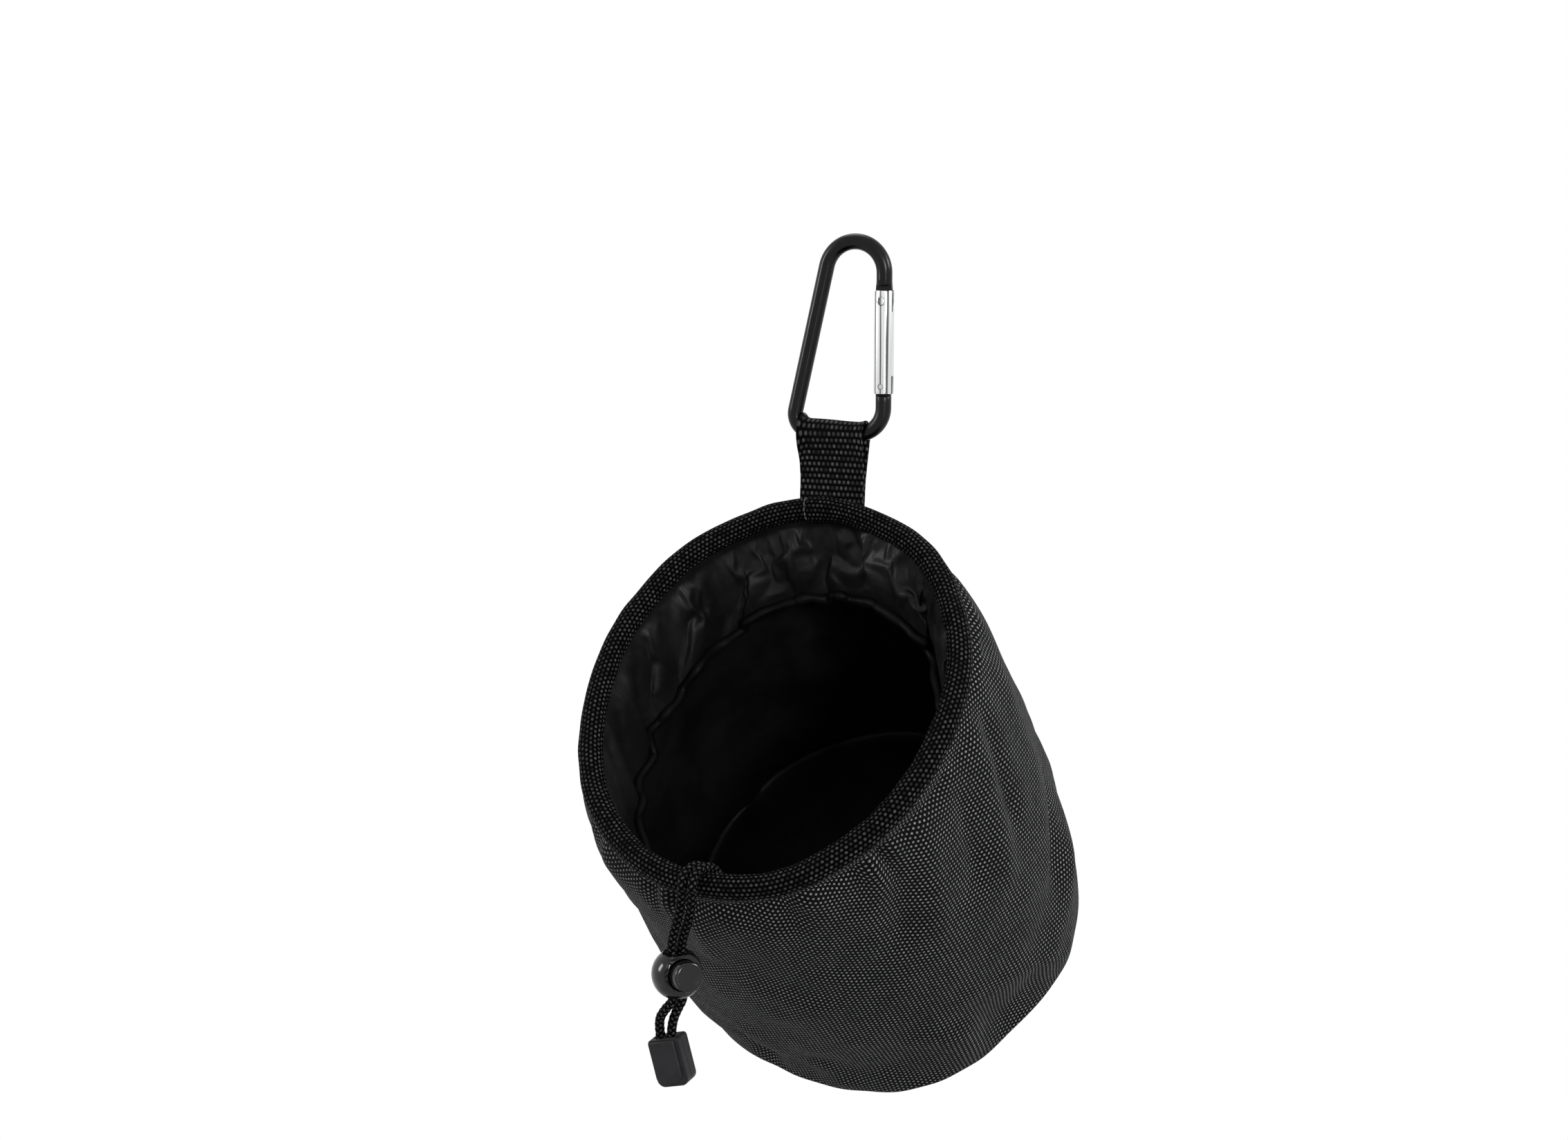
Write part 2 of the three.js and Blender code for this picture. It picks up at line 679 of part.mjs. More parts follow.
for (let i = 0; i <= 8; i += 1) {
  const angle = rad(wrapEnd * i / 8);
  rise.push(new THREE.Vector3(legHalf, -rimEnd + wrapRadius * Math.cos(angle), wrapRadius * Math.sin(angle)));
}
const ringPoints = [];
const ringFrom = 22;
for (let i = 0; i <= 34; i += 1) {
  const angle = rad(180 - ringFrom - (360 - 2 * ringFrom) * i / 34);
  ringPoints.push(new THREE.Vector3(hemSide * Math.sin(angle), hemEnd * Math.cos(angle), -collarDrop));
}
// On its way up and over the rim the pair moves to the side.
function ledSideways(points) {
  return points.map((p, i) => {
    const t = THREE.MathUtils.clamp((i - straight + 3) / 9, 0, 1);
    return new THREE.Vector3(p.x + cordShift * t * t * (3 - 2 * t), p.y, p.z);
  });
}
const mirrored = rise.map((p) => new THREE.Vector3(-p.x, p.y, p.z));
const cordRun = [...ledSideways(rise).reverse(), ...ringPoints, ...ledSideways(mirrored)];
add(bag, 'collar_drawcord', tube(cordRun, cordDiameter, 8, 1), cordBraid);

// Sewn end of the strap on the outside of the shell, following its round wall.
const sewnTop = -flexDrop - footRadius - clearance;
const sewnThickness = 2 * webbingThickness;
const sewnSections = [];
for (let i = 0; i <= 8; i += 1) {
  const x = strapShift + webbingWidth * (i / 8 - 0.5);
  const inner = [];
  const outer = [];
  for (let j = 0; j <= 4; j += 1) {
    const z = sewnTop - sewnLength * j / 4;
    const y = shellRadius(end, z) * Math.sqrt(1 - (x / shellRadius(side, z)) ** 2);
    inner.push(new THREE.Vector3(x, y + clearance, z));
    outer.push(new THREE.Vector3(x, y + clearance + sewnThickness, z));
  }
  sewnSections.push([...inner, ...outer.reverse()]);
}

add(bag, 'hanger_sewn_end', sectionLoft(sewnSections), webbing);

// Free end of the drawcord: two legs hang from the front of the rim.
const cordExit = new THREE.Vector3(
  cordShift,
  -rimEnd - wrapRadius * Math.cos(tilt),
  wrapRadius * Math.sin(tilt),
).applyMatrix4(bag.matrixWorld);
const cord = new THREE.Group();
cord.name = 'cord';
cord.position.copy(cordExit);
group.add(cord);

const clip = new THREE.Group();
clip.name = 'end_clip';
clip.position.set(clipShift, 0, -clipDrop);
clip.rotation.y = rad(clipTilt);
cord.add(clip);
clip.updateMatrix();

// Drop below the rim, middle of the pair, half spread and turn of the pair.
const lockTop = lockDrop - lockDiameter / 2 - 0.6;
const lockBottom = lockDrop + lockDiameter / 2 + 0.6;
const legStations = [
  [clearance, 0, legHalf, 0],
  [lockTop * 0.27, lockShift * 0.1, legHalf, 8],
  [lockTop * 0.55, lockShift * 0.42, legHalf + 0.05, 24],
  [lockTop * 0.82, lockShift * 0.85, legHalf, 40],
  [lockTop, lockShift, legHalf, lockTurn],
  [lockDrop - 3, lockShift, legHalf, lockTurn],
  [lockDrop, lockShift, legHalf, lockTurn],
  [lockDrop + 3, lockShift, legHalf, lockTurn],
  [lockBottom, lockShift, legHalf, lockTurn],
  [lockBottom + 3, lockShift - 0.7, legHalf + 0.7, lockTurn - 9],
  [lockBottom + 6.4, lockShift - 1.9, legHalf + 0.9, 18],
];
const clipSpread = cordRadius + 0.45;
const clipTop = clipHeight / 2;
const knotTop = 1.4;
function legPoints(handed) {
  const points = legStations.map(([drop, middle, spread, turn]) => new THREE.Vector3(
    middle + handed * spread * Math.cos(rad(turn)),
    handed * spread * Math.sin(rad(turn)),
    -drop,
  ));
  for (const height of [clipTop, (clipTop + knotTop) / 2, knotTop + clearance]) {
    points.push(new THREE.Vector3(handed * clipSpread, 0, height).applyMatrix4(clip.matrix));
  }
  return points;
}
add(cord, 'drawcord_left_leg', tube(legPoints(-1), cordDiameter, 8, 2), cordBraid);
add(cord, 'drawcord_right_leg', tube(legPoints(1), cordDiameter, 8, 2), cordBraid);

// Cord lock: ball with a cross bore for the button, an upright slot for the two legs.
const lock = new THREE.Group();
lock.name = 'cord_lock';
lock.position.set(lockShift, 0, -lockDrop);
lock.rotation.z = rad(lockTurn);
cord.add(lock);
const lockRadius = lockDiameter / 2;
const slotHalfX = legHalf + cordRadius + clearance;
const slotHalfY = cordRadius + clearance;
const buttonRadius = buttonDiameter / 2;
const buttonBack = slotHalfY + buttonBar;
const boreEnd = buttonBack + buttonTravel + clearance;
const boreBar = (diameter, from, to) => new THREE.CylinderGeometry(diameter / 2, diameter / 2, to - from, 20)
  .translate(0, (from + to) / 2, 0);
const legSlot = (from, to, height) => prism(roundedShape(slotHalfX, (to - from) / 2, (to - from) / 2 - 0.05), height)
  .translate(0, (from + to) / 2, 0);
const ball = new THREE.SphereGeometry(lockRadius, 24, 16).rotateX(Math.PI / 2);
const faceCut = new THREE.BoxGeometry(lockDiameter * 2, lockDiameter, lockDiameter * 2)
  .translate(0, -lockFace - lockDiameter / 2, 0);
const barrelSolid = solid(ball)
  .subtract(solid(faceCut))
  .subtract(solid(boreBar(buttonDiameter + 2 * clearance, -lockDiameter, boreEnd)))
  .subtract(solid(boreBar(lockSpringDiameter + 2 * clearance, 0, boreEnd + lockSpringPocket)))
  .subtract(solid(legSlot(-slotHalfY, slotHalfY, lockDiameter * 2)));
add(lock, 'cord_lock_barrel', toGeometry(barrelSolid), glossPlastic);
const buttonFace = -lockFace - buttonReach;
const button = turned([
  [0, buttonFace],
  [buttonRadius - 0.5, buttonFace],
  [buttonRadius, buttonFace + 0.5],
  [buttonRadius, buttonBack],
  [0, buttonBack],
], 24);
const buttonSlot = prism(roundedShape(slotHalfX, slotHalfY + buttonTravel / 2, slotHalfY - 0.05), lockDiameter)
  .translate(0, -buttonTravel / 2, 0);
const buttonSolid = solid(button).subtract(solid(buttonSlot));
add(lock, 'cord_lock_button', toGeometry(buttonSolid), glossPlastic);
const lockSpringLength = boreEnd + lockSpringPocket - buttonBack - 0.4;
const lockSpring = coil(lockSpringDiameter, lockSpringWire, lockSpringTurns, lockSpringLength)
  .rotateX(-Math.PI / 2).translate(0, buttonBack + 0.2, 0);
add(lock, 'cord_lock_spring', lockSpring, steel);

// End clip: two shells closed over the knot, a raised lid on the front one.
const clipHalfX = clipWidth / 2;
const clipHalfZ = clipHeight / 2;
const clipShape = polygonShape([
  ...arcPoints(clipHalfX - 1, clipHalfZ - 1, 1, 0, 90, 3),
  ...arcPoints(1 - clipHalfX, clipHalfZ - 1, 1, 90, 180, 3),
  ...arcPoints(2.4 - clipHalfX, 2.4 - clipHalfZ, 2.4, 180, 270, 4),
  ...arcPoints(clipHalfX - 2.4, 2.4 - clipHalfZ, 2.4, 270, 360, 4),
]);
const lidHalfX = clipHalfX - 1.3;
const lidShape = polygonShape([
  new THREE.Vector2(lidHalfX, clipHalfZ - 1.6),
  new THREE.Vector2(-lidHalfX, clipHalfZ - 1.6),
  ...arcPoints(0, lidHalfX * 0.9 - clipHalfZ + 0.9, lidHalfX, 195, 345, 8),
]);
const shellDepth = (clipThickness - clearance) / 2;
const knotHalf = new THREE.Vector3(clipHalfX - clipWall - 0.9, shellDepth - clipWall, 2.6);
const knotZ = knotTop - knotHalf.z;
const knotSpace = new THREE.BoxGeometry(
  2 * (knotHalf.x + clearance),
  2 * (knotHalf.y + clearance),
  2 * (knotHalf.z + clearance),
).translate(0, 0, knotZ);
const cordMouth = new THREE.BoxGeometry(
  2 * (clipSpread + cordRadius + clearance),
  2 * (cordRadius + clearance),
  clipHeight,
).translate(0, 0, knotZ + clipHeight / 2);
const half = (sign) => solid(plate(clipShape, shellDepth).translate(0, sign * (clearance + shellDepth) / 2, 0));
const lid = plate(lidShape, lidThickness + 0.4)
  .translate(0, -clipThickness / 2 - lidThickness / 2 + 0.2, 0);
const frontSolid = half(-1).add(solid(lid)).subtract(solid(knotSpace)).subtract(solid(cordMouth));
const backSolid = half(1).subtract(solid(knotSpace)).subtract(solid(cordMouth));
add(clip, 'cord_end_front_shell', toGeometry(frontSolid), mattPlastic);
add(clip, 'cord_end_back_shell', toGeometry(backSolid), mattPlastic);
const knot = new THREE.SphereGeometry(1, 12, 8).scale(knotHalf.x, knotHalf.y, knotHalf.z).translate(0, 0, knotZ);
add(clip, 'cord_end_knot', knot, cordBraid);

export default group;
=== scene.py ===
"""Peg bag hung by a carabiner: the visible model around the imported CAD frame."""
import math

import bmesh
import bpy
import numpy as np
from mathutils import Matrix, Vector

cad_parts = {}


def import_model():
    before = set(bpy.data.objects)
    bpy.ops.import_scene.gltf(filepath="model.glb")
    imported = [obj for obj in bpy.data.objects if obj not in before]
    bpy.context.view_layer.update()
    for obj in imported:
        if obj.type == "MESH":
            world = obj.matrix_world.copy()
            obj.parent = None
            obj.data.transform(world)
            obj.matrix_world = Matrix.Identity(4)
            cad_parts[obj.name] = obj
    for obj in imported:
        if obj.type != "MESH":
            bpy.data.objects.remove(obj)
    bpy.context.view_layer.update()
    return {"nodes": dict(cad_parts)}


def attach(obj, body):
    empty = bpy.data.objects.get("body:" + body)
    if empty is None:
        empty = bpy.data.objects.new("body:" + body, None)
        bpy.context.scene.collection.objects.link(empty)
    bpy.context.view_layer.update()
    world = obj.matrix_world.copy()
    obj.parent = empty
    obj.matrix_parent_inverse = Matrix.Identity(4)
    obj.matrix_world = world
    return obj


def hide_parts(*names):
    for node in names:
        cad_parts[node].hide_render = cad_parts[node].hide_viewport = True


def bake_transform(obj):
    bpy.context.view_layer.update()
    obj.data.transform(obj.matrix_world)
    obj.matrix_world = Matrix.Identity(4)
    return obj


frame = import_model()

# Metres in a millimetre, and the running clearance in millimetres.
MM, CLEAR = 0.001, 0.3
scene = bpy.context.scene

# Carabiner, in millimetres: radii of rod, arch and bends, heights over the seat.
LENGTH, ROD, ARCH, LEAN, HEEL, NOSE_BEND = 68.0, 2.6, 10.2, 13.0, 6.0, 7.4
GATE_TOP, NOSE, GATE_RADIUS, RIVET_DROP, LATCH_RISE = -13.1, 13.4, 3.3, 3.5, 2.5
NOSE_CURVE = 8.8
lean = math.radians(LEAN)
BAR_Z = 3 * ROD - LENGTH
RIVET_Z = GATE_TOP - RIVET_DROP
gate_bottom = BAR_Z + NOSE
arch_z = ROD - ARCH
spine_x, spine_z = -ARCH * math.cos(lean), arch_z + ARCH * math.sin(lean)
foot_x = spine_x - (spine_z - BAR_Z) * math.tan(lean)
bar_left = foot_x + HEEL / math.tan((math.pi / 2 - lean) / 2)
bar_right = ARCH - NOSE_BEND

# Strap: webbing from the bar down to the line where it bends on to the bag.
HALF_WIDTH, THICK, STRAP_DROP, STRAP_SHIFT, FLEX_DROP = 12.0, 1.4, 31.4, -1.7, 12.0
STRAP_LEAN, STRAP_TOP, STRAP_SLIM = -1.75, -0.9, 0.945
PLY = THICK / 2 + 0.15
STRAP_X = (bar_left + bar_right) / 2
FLEX_Z = BAR_Z - STRAP_DROP

# Bag frame: origin at the rim centre, x across, u towards the strap, v out of the mouth.
TILT = 45.4
COS, SIN = math.cos(math.radians(TILT)), math.sin(math.radians(TILT))
MOUTH_SIDE, MOUTH_END, RIM_RADIUS = 62.5, 72.7, 4.0
BASE_RADIUS, BASE_EDGE, DEPTH = 73.0, 3.0, 144.0
RIM_SIDE, RIM_END = MOUTH_SIDE - RIM_RADIUS, MOUTH_END - RIM_RADIUS
SHELL_SIDE, SHELL_END = RIM_SIDE + 1.5, RIM_END + 1.5
LIP = -RIM_RADIUS - 1.75
BAG = np.array((
    STRAP_X - STRAP_SHIFT, -MOUTH_END * COS - FLEX_DROP * SIN, FLEX_Z - MOUTH_END * SIN + FLEX_DROP * COS))

# Collar, drawcord, cord lock and end clip; drops are from the place where the cord leaves the rim.
COLLAR_DROP = 30.0
CORD, CORD_SHIFT = 2.8, -3.9
LOCK_DROP, LOCK_SHIFT, LOCK_TURN, LOCK_RADIUS, LOCK_PITCH = 25.5, -3.3, 50.0, 7.6, 11.0
CLIP_DROP, CLIP_SHIFT, CLIP_TILT = 52.6, -5.2, -15.0
CLIP_HALF_X, CLIP_HALF_Z = 5.2, 7.25
WRAP = RIM_RADIUS + CLEAR + CORD / 2
LEG_HALF, CLIP_LEG = CORD / 2 + 0.2, CORD / 2 + 0.45

# Weaves: strands and lay of the braid, lengths along and round in metres, pitch of the yarns.
BRAID_STRANDS, BRAID_LAY = 8, 1.75
SHELL_LONG, LINING_LONG, COLLAR_LONG, TAPE_LONG = 0.432, 0.42, 0.40, 0.4008
TAPE_ROUND, ROD_ROUND, HEM_ROUND, THREAD_ROUND = 0.0252, 0.0188, 0.011, 0.0016
WEAVE_ROUND, WEAVE_UP, LINING_PITCH = SHELL_LONG / 334, 0.000825, 0.00022


def world(points):
    """Points of the bag frame, in millimetres, to the row frame, in metres."""
    p = np.asarray(points, float)
    x, u, v = p[..., 0], p[..., 1], p[..., 2]
    return (np.stack((x, u * COS - v * SIN, u * SIN + v * COS), -1) + BAG) * MM


def local(points):
    """Row frame in metres back to the bag frame in millimetres."""
    p = points / MM - BAG
    return np.stack((p[..., 0], p[..., 1] * COS + p[..., 2] * SIN, -p[..., 1] * SIN + p[..., 2] * COS), -1)


def shell_radius(mouth, v):
    t = np.clip((LIP - v) / (DEPTH - BASE_EDGE + LIP), 0, 1)
    ease = 1 - (1 - t) ** 2
    return mouth + (BASE_RADIUS - mouth) * ease + 1.5 * np.sin(np.pi * t)


def smoothstep(low, high, x):
    t = np.clip((x - low) / (high - low), 0, 1)
    return t * t * (3 - 2 * t)


def hill(x, width, power=2):
    return np.exp(-(x / width) ** power)


def unit(v):
    return v / np.maximum(np.linalg.norm(v, axis=-1, keepdims=True), 1e-12)


def apart(a, b):
    """Degrees from b to a, the short way round."""
    return (a - b + 180) % 360 - 180


def turns(count):
    return np.arange(count) * 2 * np.pi / count


def shares(count, length):
    return np.arange(count + 1) / count * length


def run_along(line):
    """Length along a line of points, up to each of them."""
    return np.concatenate(([0], np.cumsum(np.linalg.norm(np.diff(line, axis=0), axis=1))))


def oval(side, end, v, around):
    """Points of the bag frame on ovals with these half widths, at heights v."""
    x = side * np.sin(around)
    return np.stack((x, end * np.cos(around), v + 0 * x), -1)


def resampled(rows, count):
    """Rows of values round a ring, read at this many even places."""
    have = rows.shape[1]
    at = np.arange(count) * have / count
    return np.stack([np.interp(at, np.arange(have + 1), np.append(r, r[0])) for r in rows])


def ripples(a, b, seed, count, low, high):
    """Smooth seeded noise over a plane in millimetres, about -1 to 1."""
    rng = np.random.default_rng(seed)
    total = np.zeros(np.broadcast(a, b).shape)
    for _ in range(count):
        way = rng.uniform(0, 2 * np.pi)
        k = 2 * np.pi / rng.uniform(low, high)
        total = total + np.sin(k * (a * np.cos(way) + b * np.sin(way)) + rng.uniform(0, 6.28))
    return total / math.sqrt(count / 2) / 1.6


def linked(name, data):
    obj = bpy.data.objects.new(name, data)
    scene.collection.objects.link(obj)
    return obj


class Surface:
    """Collects grids and caps into one mesh, with a UV map in metres."""

    def __init__(self):
        self.points, self.faces, self.uvs = [], [], []
        self.count = 0

    def grid(self, p, along, around, wrap_i=False, wrap_j=False, flip=False):
        ni, nj = p.shape[:2]
        along, around = np.asarray(along, float), np.asarray(around, float)
        if along.ndim == 1:
            along = np.repeat(along[:, None], nj + wrap_j, 1)
        if around.ndim == 1:
            around = np.repeat(around[None, :], ni + wrap_i, 0)
        i, j = np.meshgrid(np.arange(ni - 1 + wrap_i), np.arange(nj - 1 + wrap_j), indexing="ij")
        order = [(0, 0), (1, 0), (1, 1), (0, 1)]
        if flip:
            order.reverse()
        face = [((i + a) % ni) * nj + (j + b) % nj + self.count for a, b in order]
        uv = [np.stack((around[i + a, j + b], along[i + a, j + b]), -1) for a, b in order]
        self.points.append(p.reshape(-1, 3))
        self.faces += np.stack(face, -1).reshape(-1, 4).tolist()
        self.uvs.append(np.stack(uv, -2).reshape(-1, 2))
        first = self.count
        self.count += ni * nj
        return first

    def cap(self, ring, centre, flip=False):
        """Fan from a ring of point numbers to a new centre point."""
        self.points.append(np.asarray(centre, float).reshape(1, 3))
        middle = self.count
        self.count += 1
        n = len(ring)
        spin = np.linspace(0, 2 * np.pi, n + 1)
        rim = np.stack((np.cos(spin), np.sin(spin)), -1) * 0.002 + 0.01
        for k in range(n):
            a, b = ring[k], ring[(k + 1) % n]
            self.faces.append([b, a, middle] if flip else [a, b, middle])
            self.uvs.append(np.array((rim[k], rim[k + 1], (0.01, 0.01))))

    def tube(self, p, along, around, ends, flip=False):
        """Rings of points with a cap on the first and on the last."""
        n = p.shape[1]
        first = self.grid(p, along, around, wrap_j=True, flip=flip)
        last = first + (len(p) - 1) * n
        self.cap(range(first, first + n), ends[0], flip)
        self.cap(range(last, last + n), ends[1], not flip)

    def done(self, name, material, sharp=None):
        mesh = bpy.data.meshes.new(name)
        mesh.from_pydata(np.concatenate(self.points).tolist(), [], self.faces)
        layer = mesh.uv_layers.new(name="cloth")
        layer.data.foreach_set("uv", np.concatenate(self.uvs).astype(np.float32).ravel())
        mesh.polygons.foreach_set("use_smooth", np.ones(len(mesh.polygons), bool))
        mesh.materials.append(material)
        mesh.update()
        if sharp is not None:
            mesh.set_sharp_from_angle(angle=math.radians(sharp))
        return linked(name, mesh)


def spline(points, step):
    """Centripetal curve through the points in even steps, and its length."""
    p = np.asarray(points, float)
    p = np.vstack((2 * p[0] - p[1], p, 2 * p[-1] - p[-2]))
    line = []
    for k in range(1, len(p) - 2):
        level = list(p[k - 1:k + 3])
        gaps = np.maximum(np.linalg.norm(np.diff(level, axis=0), axis=1), 1e-9) ** 0.5
        knot = np.concatenate(([0], np.cumsum(gaps)))
        t = np.linspace(knot[1], knot[2], 24, endpoint=False)[:, None]
        for spans in (((0, 1), (1, 2), (2, 3)), ((0, 2), (1, 3)), ((1, 2),)):
            level = [((knot[high] - t) * a + (t - knot[low]) * b) / (knot[high] - knot[low])
                     for (low, high), a, b in zip(spans, level, level[1:])]
        line.append(level[0])
    line = np.vstack(line + [p[-2][None]])
    run = run_along(line)
    at = np.linspace(0, run[-1], max(int(round(run[-1] / step)), 2) + 1)
    return np.stack([np.interp(at, run, line[:, k]) for k in range(3)], -1), run[-1]


def swept(path, section, first, closed=False):
    """Sections set across a path, turning as little as they can along it."""
    ahead = np.roll(path, -1, 0) - np.roll(path, 1, 0) if closed else np.gradient(path, axis=0)
    tangent = unit(ahead)
    normal = np.empty_like(tangent)
    side = np.asarray(first, float)
    for k, d in enumerate(tangent):
        side = unit(side - d * (side @ d))
        normal[k] = side
    across = np.cross(tangent, normal)
    return path[:, None] + normal[:, None] * section[..., 0:1] + across[:, None] * section[..., 1:2]


def circle(radius, sides):
    spin = turns(sides)
    return np.stack((np.cos(spin), np.sin(spin)), -1) * radius


def add_node(tree, kind, inputs=(), **settings):
    """New shader node: its own settings, then pairs of a socket and the value or link that it gets."""
    node = tree.nodes.new("ShaderNode" + kind)
    for key, value in settings.items():
        setattr(node, key, value)
    for key, value in inputs:
        socket = node.inputs[key]
        if isinstance(value, Value):
            tree.links.new(value.socket, socket)
        else:
            socket.default_value = (*value, 1) if socket.type == "RGBA" else value
    return node


class Value:
    """A socket of a shader tree that plain operators work on."""

    def __init__(self, tree, socket):
        self.tree, self.socket = tree, socket

    def math(self, operation, *values):
        node = add_node(self.tree, "Math", enumerate(values), operation=operation)
        return Value(self.tree, node.outputs[0])

    def __add__(self, other):
        return self.math("ADD", self, other)

    def __sub__(self, other):
        return self.math("SUBTRACT", self, other)

    def __rsub__(self, other):
        return self.math("SUBTRACT", other, self)

    def __mul__(self, other):
        return self.math("MULTIPLY", self, other)

    def __truediv__(self, other):
        return self.math("DIVIDE", self, other)

    def __mod__(self, other):
        return self.math("MODULO", self, other)

    def floor(self):
        return self.math("FLOOR", self)

    def dome(self):
        """1 in the middle of each whole step, 0 at its ends."""
        offset = self.math("FRACT", self) - 0.5
        return 1.0 - offset * offset * 4.0

    def ramp(self, low, high, to_low=0.0, to_high=1.0):
        values = enumerate((self, low, high, to_low, to_high))
        node = add_node(self.tree, "MapRange", values, interpolation_type="SMOOTHSTEP")
        return Value(self.tree, node.outputs[0])


class Finish:
    """A node material round one Principled shader."""

    def __init__(self, name, color, roughness, metallic=0.0, shine=0.5):
        self.material = bpy.data.materials.new(name)
        self.material.use_nodes = True
        self.material.diffuse_color = (*color, 1)
        self.tree = self.material.node_tree
        self.tree.nodes.clear()
        self.shader = add_node(self.tree, "BsdfPrincipled", (
            ("Base Color", color), ("Roughness", roughness), ("Metallic", metallic),
            ("Specular IOR Level", shine)))
        add_node(self.tree, "OutputMaterial", ((0, Value(self.tree, self.shader.outputs[0])),))

    def make(self, kind, inputs=(), out=0, **settings):
        return Value(self.tree, add_node(self.tree, kind, inputs, **settings).outputs[out])

    def uv(self):
        split = add_node(self.tree, "SeparateXYZ", ((0, self.make("UVMap", uv_map="cloth")),))
        return [Value(self.tree, split.outputs[k]) for k in (0, 1)]

    def place(self):
        return self.make("TexCoord", out="Object")

    def join(self, x, y):
        return self.make("CombineXYZ", ((0, x), (1, y)))

    def stretch(self, vector, scale):
        return self.make("Mapping", ((0, vector), ("Scale", scale)))

    def noise(self, vector, scale, detail=3.0):
        return self.make("TexNoise", (
            (0, vector), ("Scale", scale), ("Detail", detail), ("Roughness", 0.55)))

    def chance(self, x, y):
        return self.make("TexWhiteNoise", (("Vector", self.join(x, y)),), "Value", noise_dimensions="2D")

    def mix(self, share, a, b):
        return self.make("Mix", ((0, share), (6, a), (7, b)), 2, data_type="RGBA")

    def bump(self, height, strength, distance):
        inputs = [("Strength", strength), ("Distance", distance), ("Height", height)]
        before = self.shader.inputs["Normal"].links
        if before:
            inputs.append(("Normal", Value(self.tree, before[0].from_socket)))
        self.feed("Normal", self.make("Bump", inputs))

    def color(self, value):
        self.feed("Base Color", value)

    def rough(self, value):
        self.feed("Roughness", value)

    def feed(self, socket, value):
        self.tree.links.new(value.socket, self.shader.inputs[socket])


def weave_finish():
    """Coarse polyester: plain weave, with a painted highlight dot where each warp yarn lies on top."""
    f = Finish("shell_weave", (0.02, 0.02, 0.022), 0.75, shine=0.06)
    u, v = f.uv()
    x, y = u / WEAVE_ROUND, v / WEAVE_UP
    row, column = x.floor(), y.floor()
    over = (row + column) % 2.0
    a, b = x.dome(), y.dome()
    warp, weft = a * (b * 0.6 + 0.4), b * (a * 0.6 + 0.4)
    height = over * (warp - weft) + weft
    away = (1.0 - a) * 3.0 + (1.0 - b) * 1.4
    # Painted highlight: a pale dot on each warp crown, stronger in some patches.
    painted_highlight_dot = over * away.ramp(0.2, 1.5, 1.0, 0.0) * (f.chance(row, column) * 0.5 + 0.65)
    painted_highlight_dot = painted_highlight_dot * f.noise(f.join(u, v), 60.0).ramp(0.25, 0.75, 0.8, 1.12)
    # Painted shade: the ground between the yarns is darker than their tops.
    shaded_ground = f.mix(height, (0.0008, 0.0008, 0.001), (0.005, 0.0051, 0.0056))
    f.color(f.mix(painted_highlight_dot, shaded_ground, (0.30, 0.303, 0.31)))
    f.bump(height, 0.7, 0.0003)
    return f.material


# The darker of these two tones is painted shade between the grains.
GRAIN_GAP_SHADE, GRAIN_LIGHT = (0.0005,) * 3, (0.002, 0.002, 0.0022)


def grain_finish(name, pitch_u, pitch_v, painted_tip_highlight, shine):
    """Heavy tape: rows of rounded grains, each row half a grain on from the last."""
    f = Finish(name, GRAIN_LIGHT, 0.62, shine=shine)
    u, v = f.uv()
    y = v / pitch_v
    row = y.floor()
    x = u / pitch_u + row % 2.0 * 0.5
    domes = x.dome() * y.dome()
    grain = domes.math("SQRT", domes.math("MAXIMUM", domes, 0.0))
    fibre = f.noise(f.stretch(f.join(u, v), (9000.0, 1200.0, 1.0)), 1.0, 2.0)
    # Painted shade: the ground is darker between the grains.
    shaded_ground = f.mix(grain.ramp(0.1, 0.8), GRAIN_GAP_SHADE, GRAIN_LIGHT)
    # Painted glints: the pale tip colour sits on the crown of each grain.
    lit = grain.ramp(0.7, 0.98) * (f.chance(x.floor(), row) * 0.85 + 0.15)
    f.color(f.mix(lit, shaded_ground, painted_tip_highlight))
    f.rough(grain.ramp(0.2, 1.0, 0.75, 0.34))
    f.bump(fibre * 0.12 + grain, 0.9, 0.0004)
    return f.material


SATIN_DARK, SATIN_LIGHT = (0.006, 0.006, 0.0066), (0.013, 0.013, 0.0142)


def satin_finish(name, shade, shine):
    """Thin lining nylon: fine close weave, a soft sheen on each fold."""
    dark, light = (tuple(c * shade for c in tone) for tone in (SATIN_DARK, SATIN_LIGHT))
    f = Finish(name, dark, 0.42, shine=shine)
    u, v = f.uv()
    fine = (u / LINING_PITCH).dome() * (v / LINING_PITCH).dome()
    cloud = f.noise(f.join(u, v), 45.0, 4.0)
    f.color(f.mix(cloud.ramp(0.3, 0.7), dark, light))
    f.rough(cloud.ramp(0.3, 0.7, 0.36, 0.5))
    f.bump(fine, 0.15, 0.00005)
    f.bump(f.noise(f.join(u, v), 260.0), 0.25, 0.0006)
    return f.material


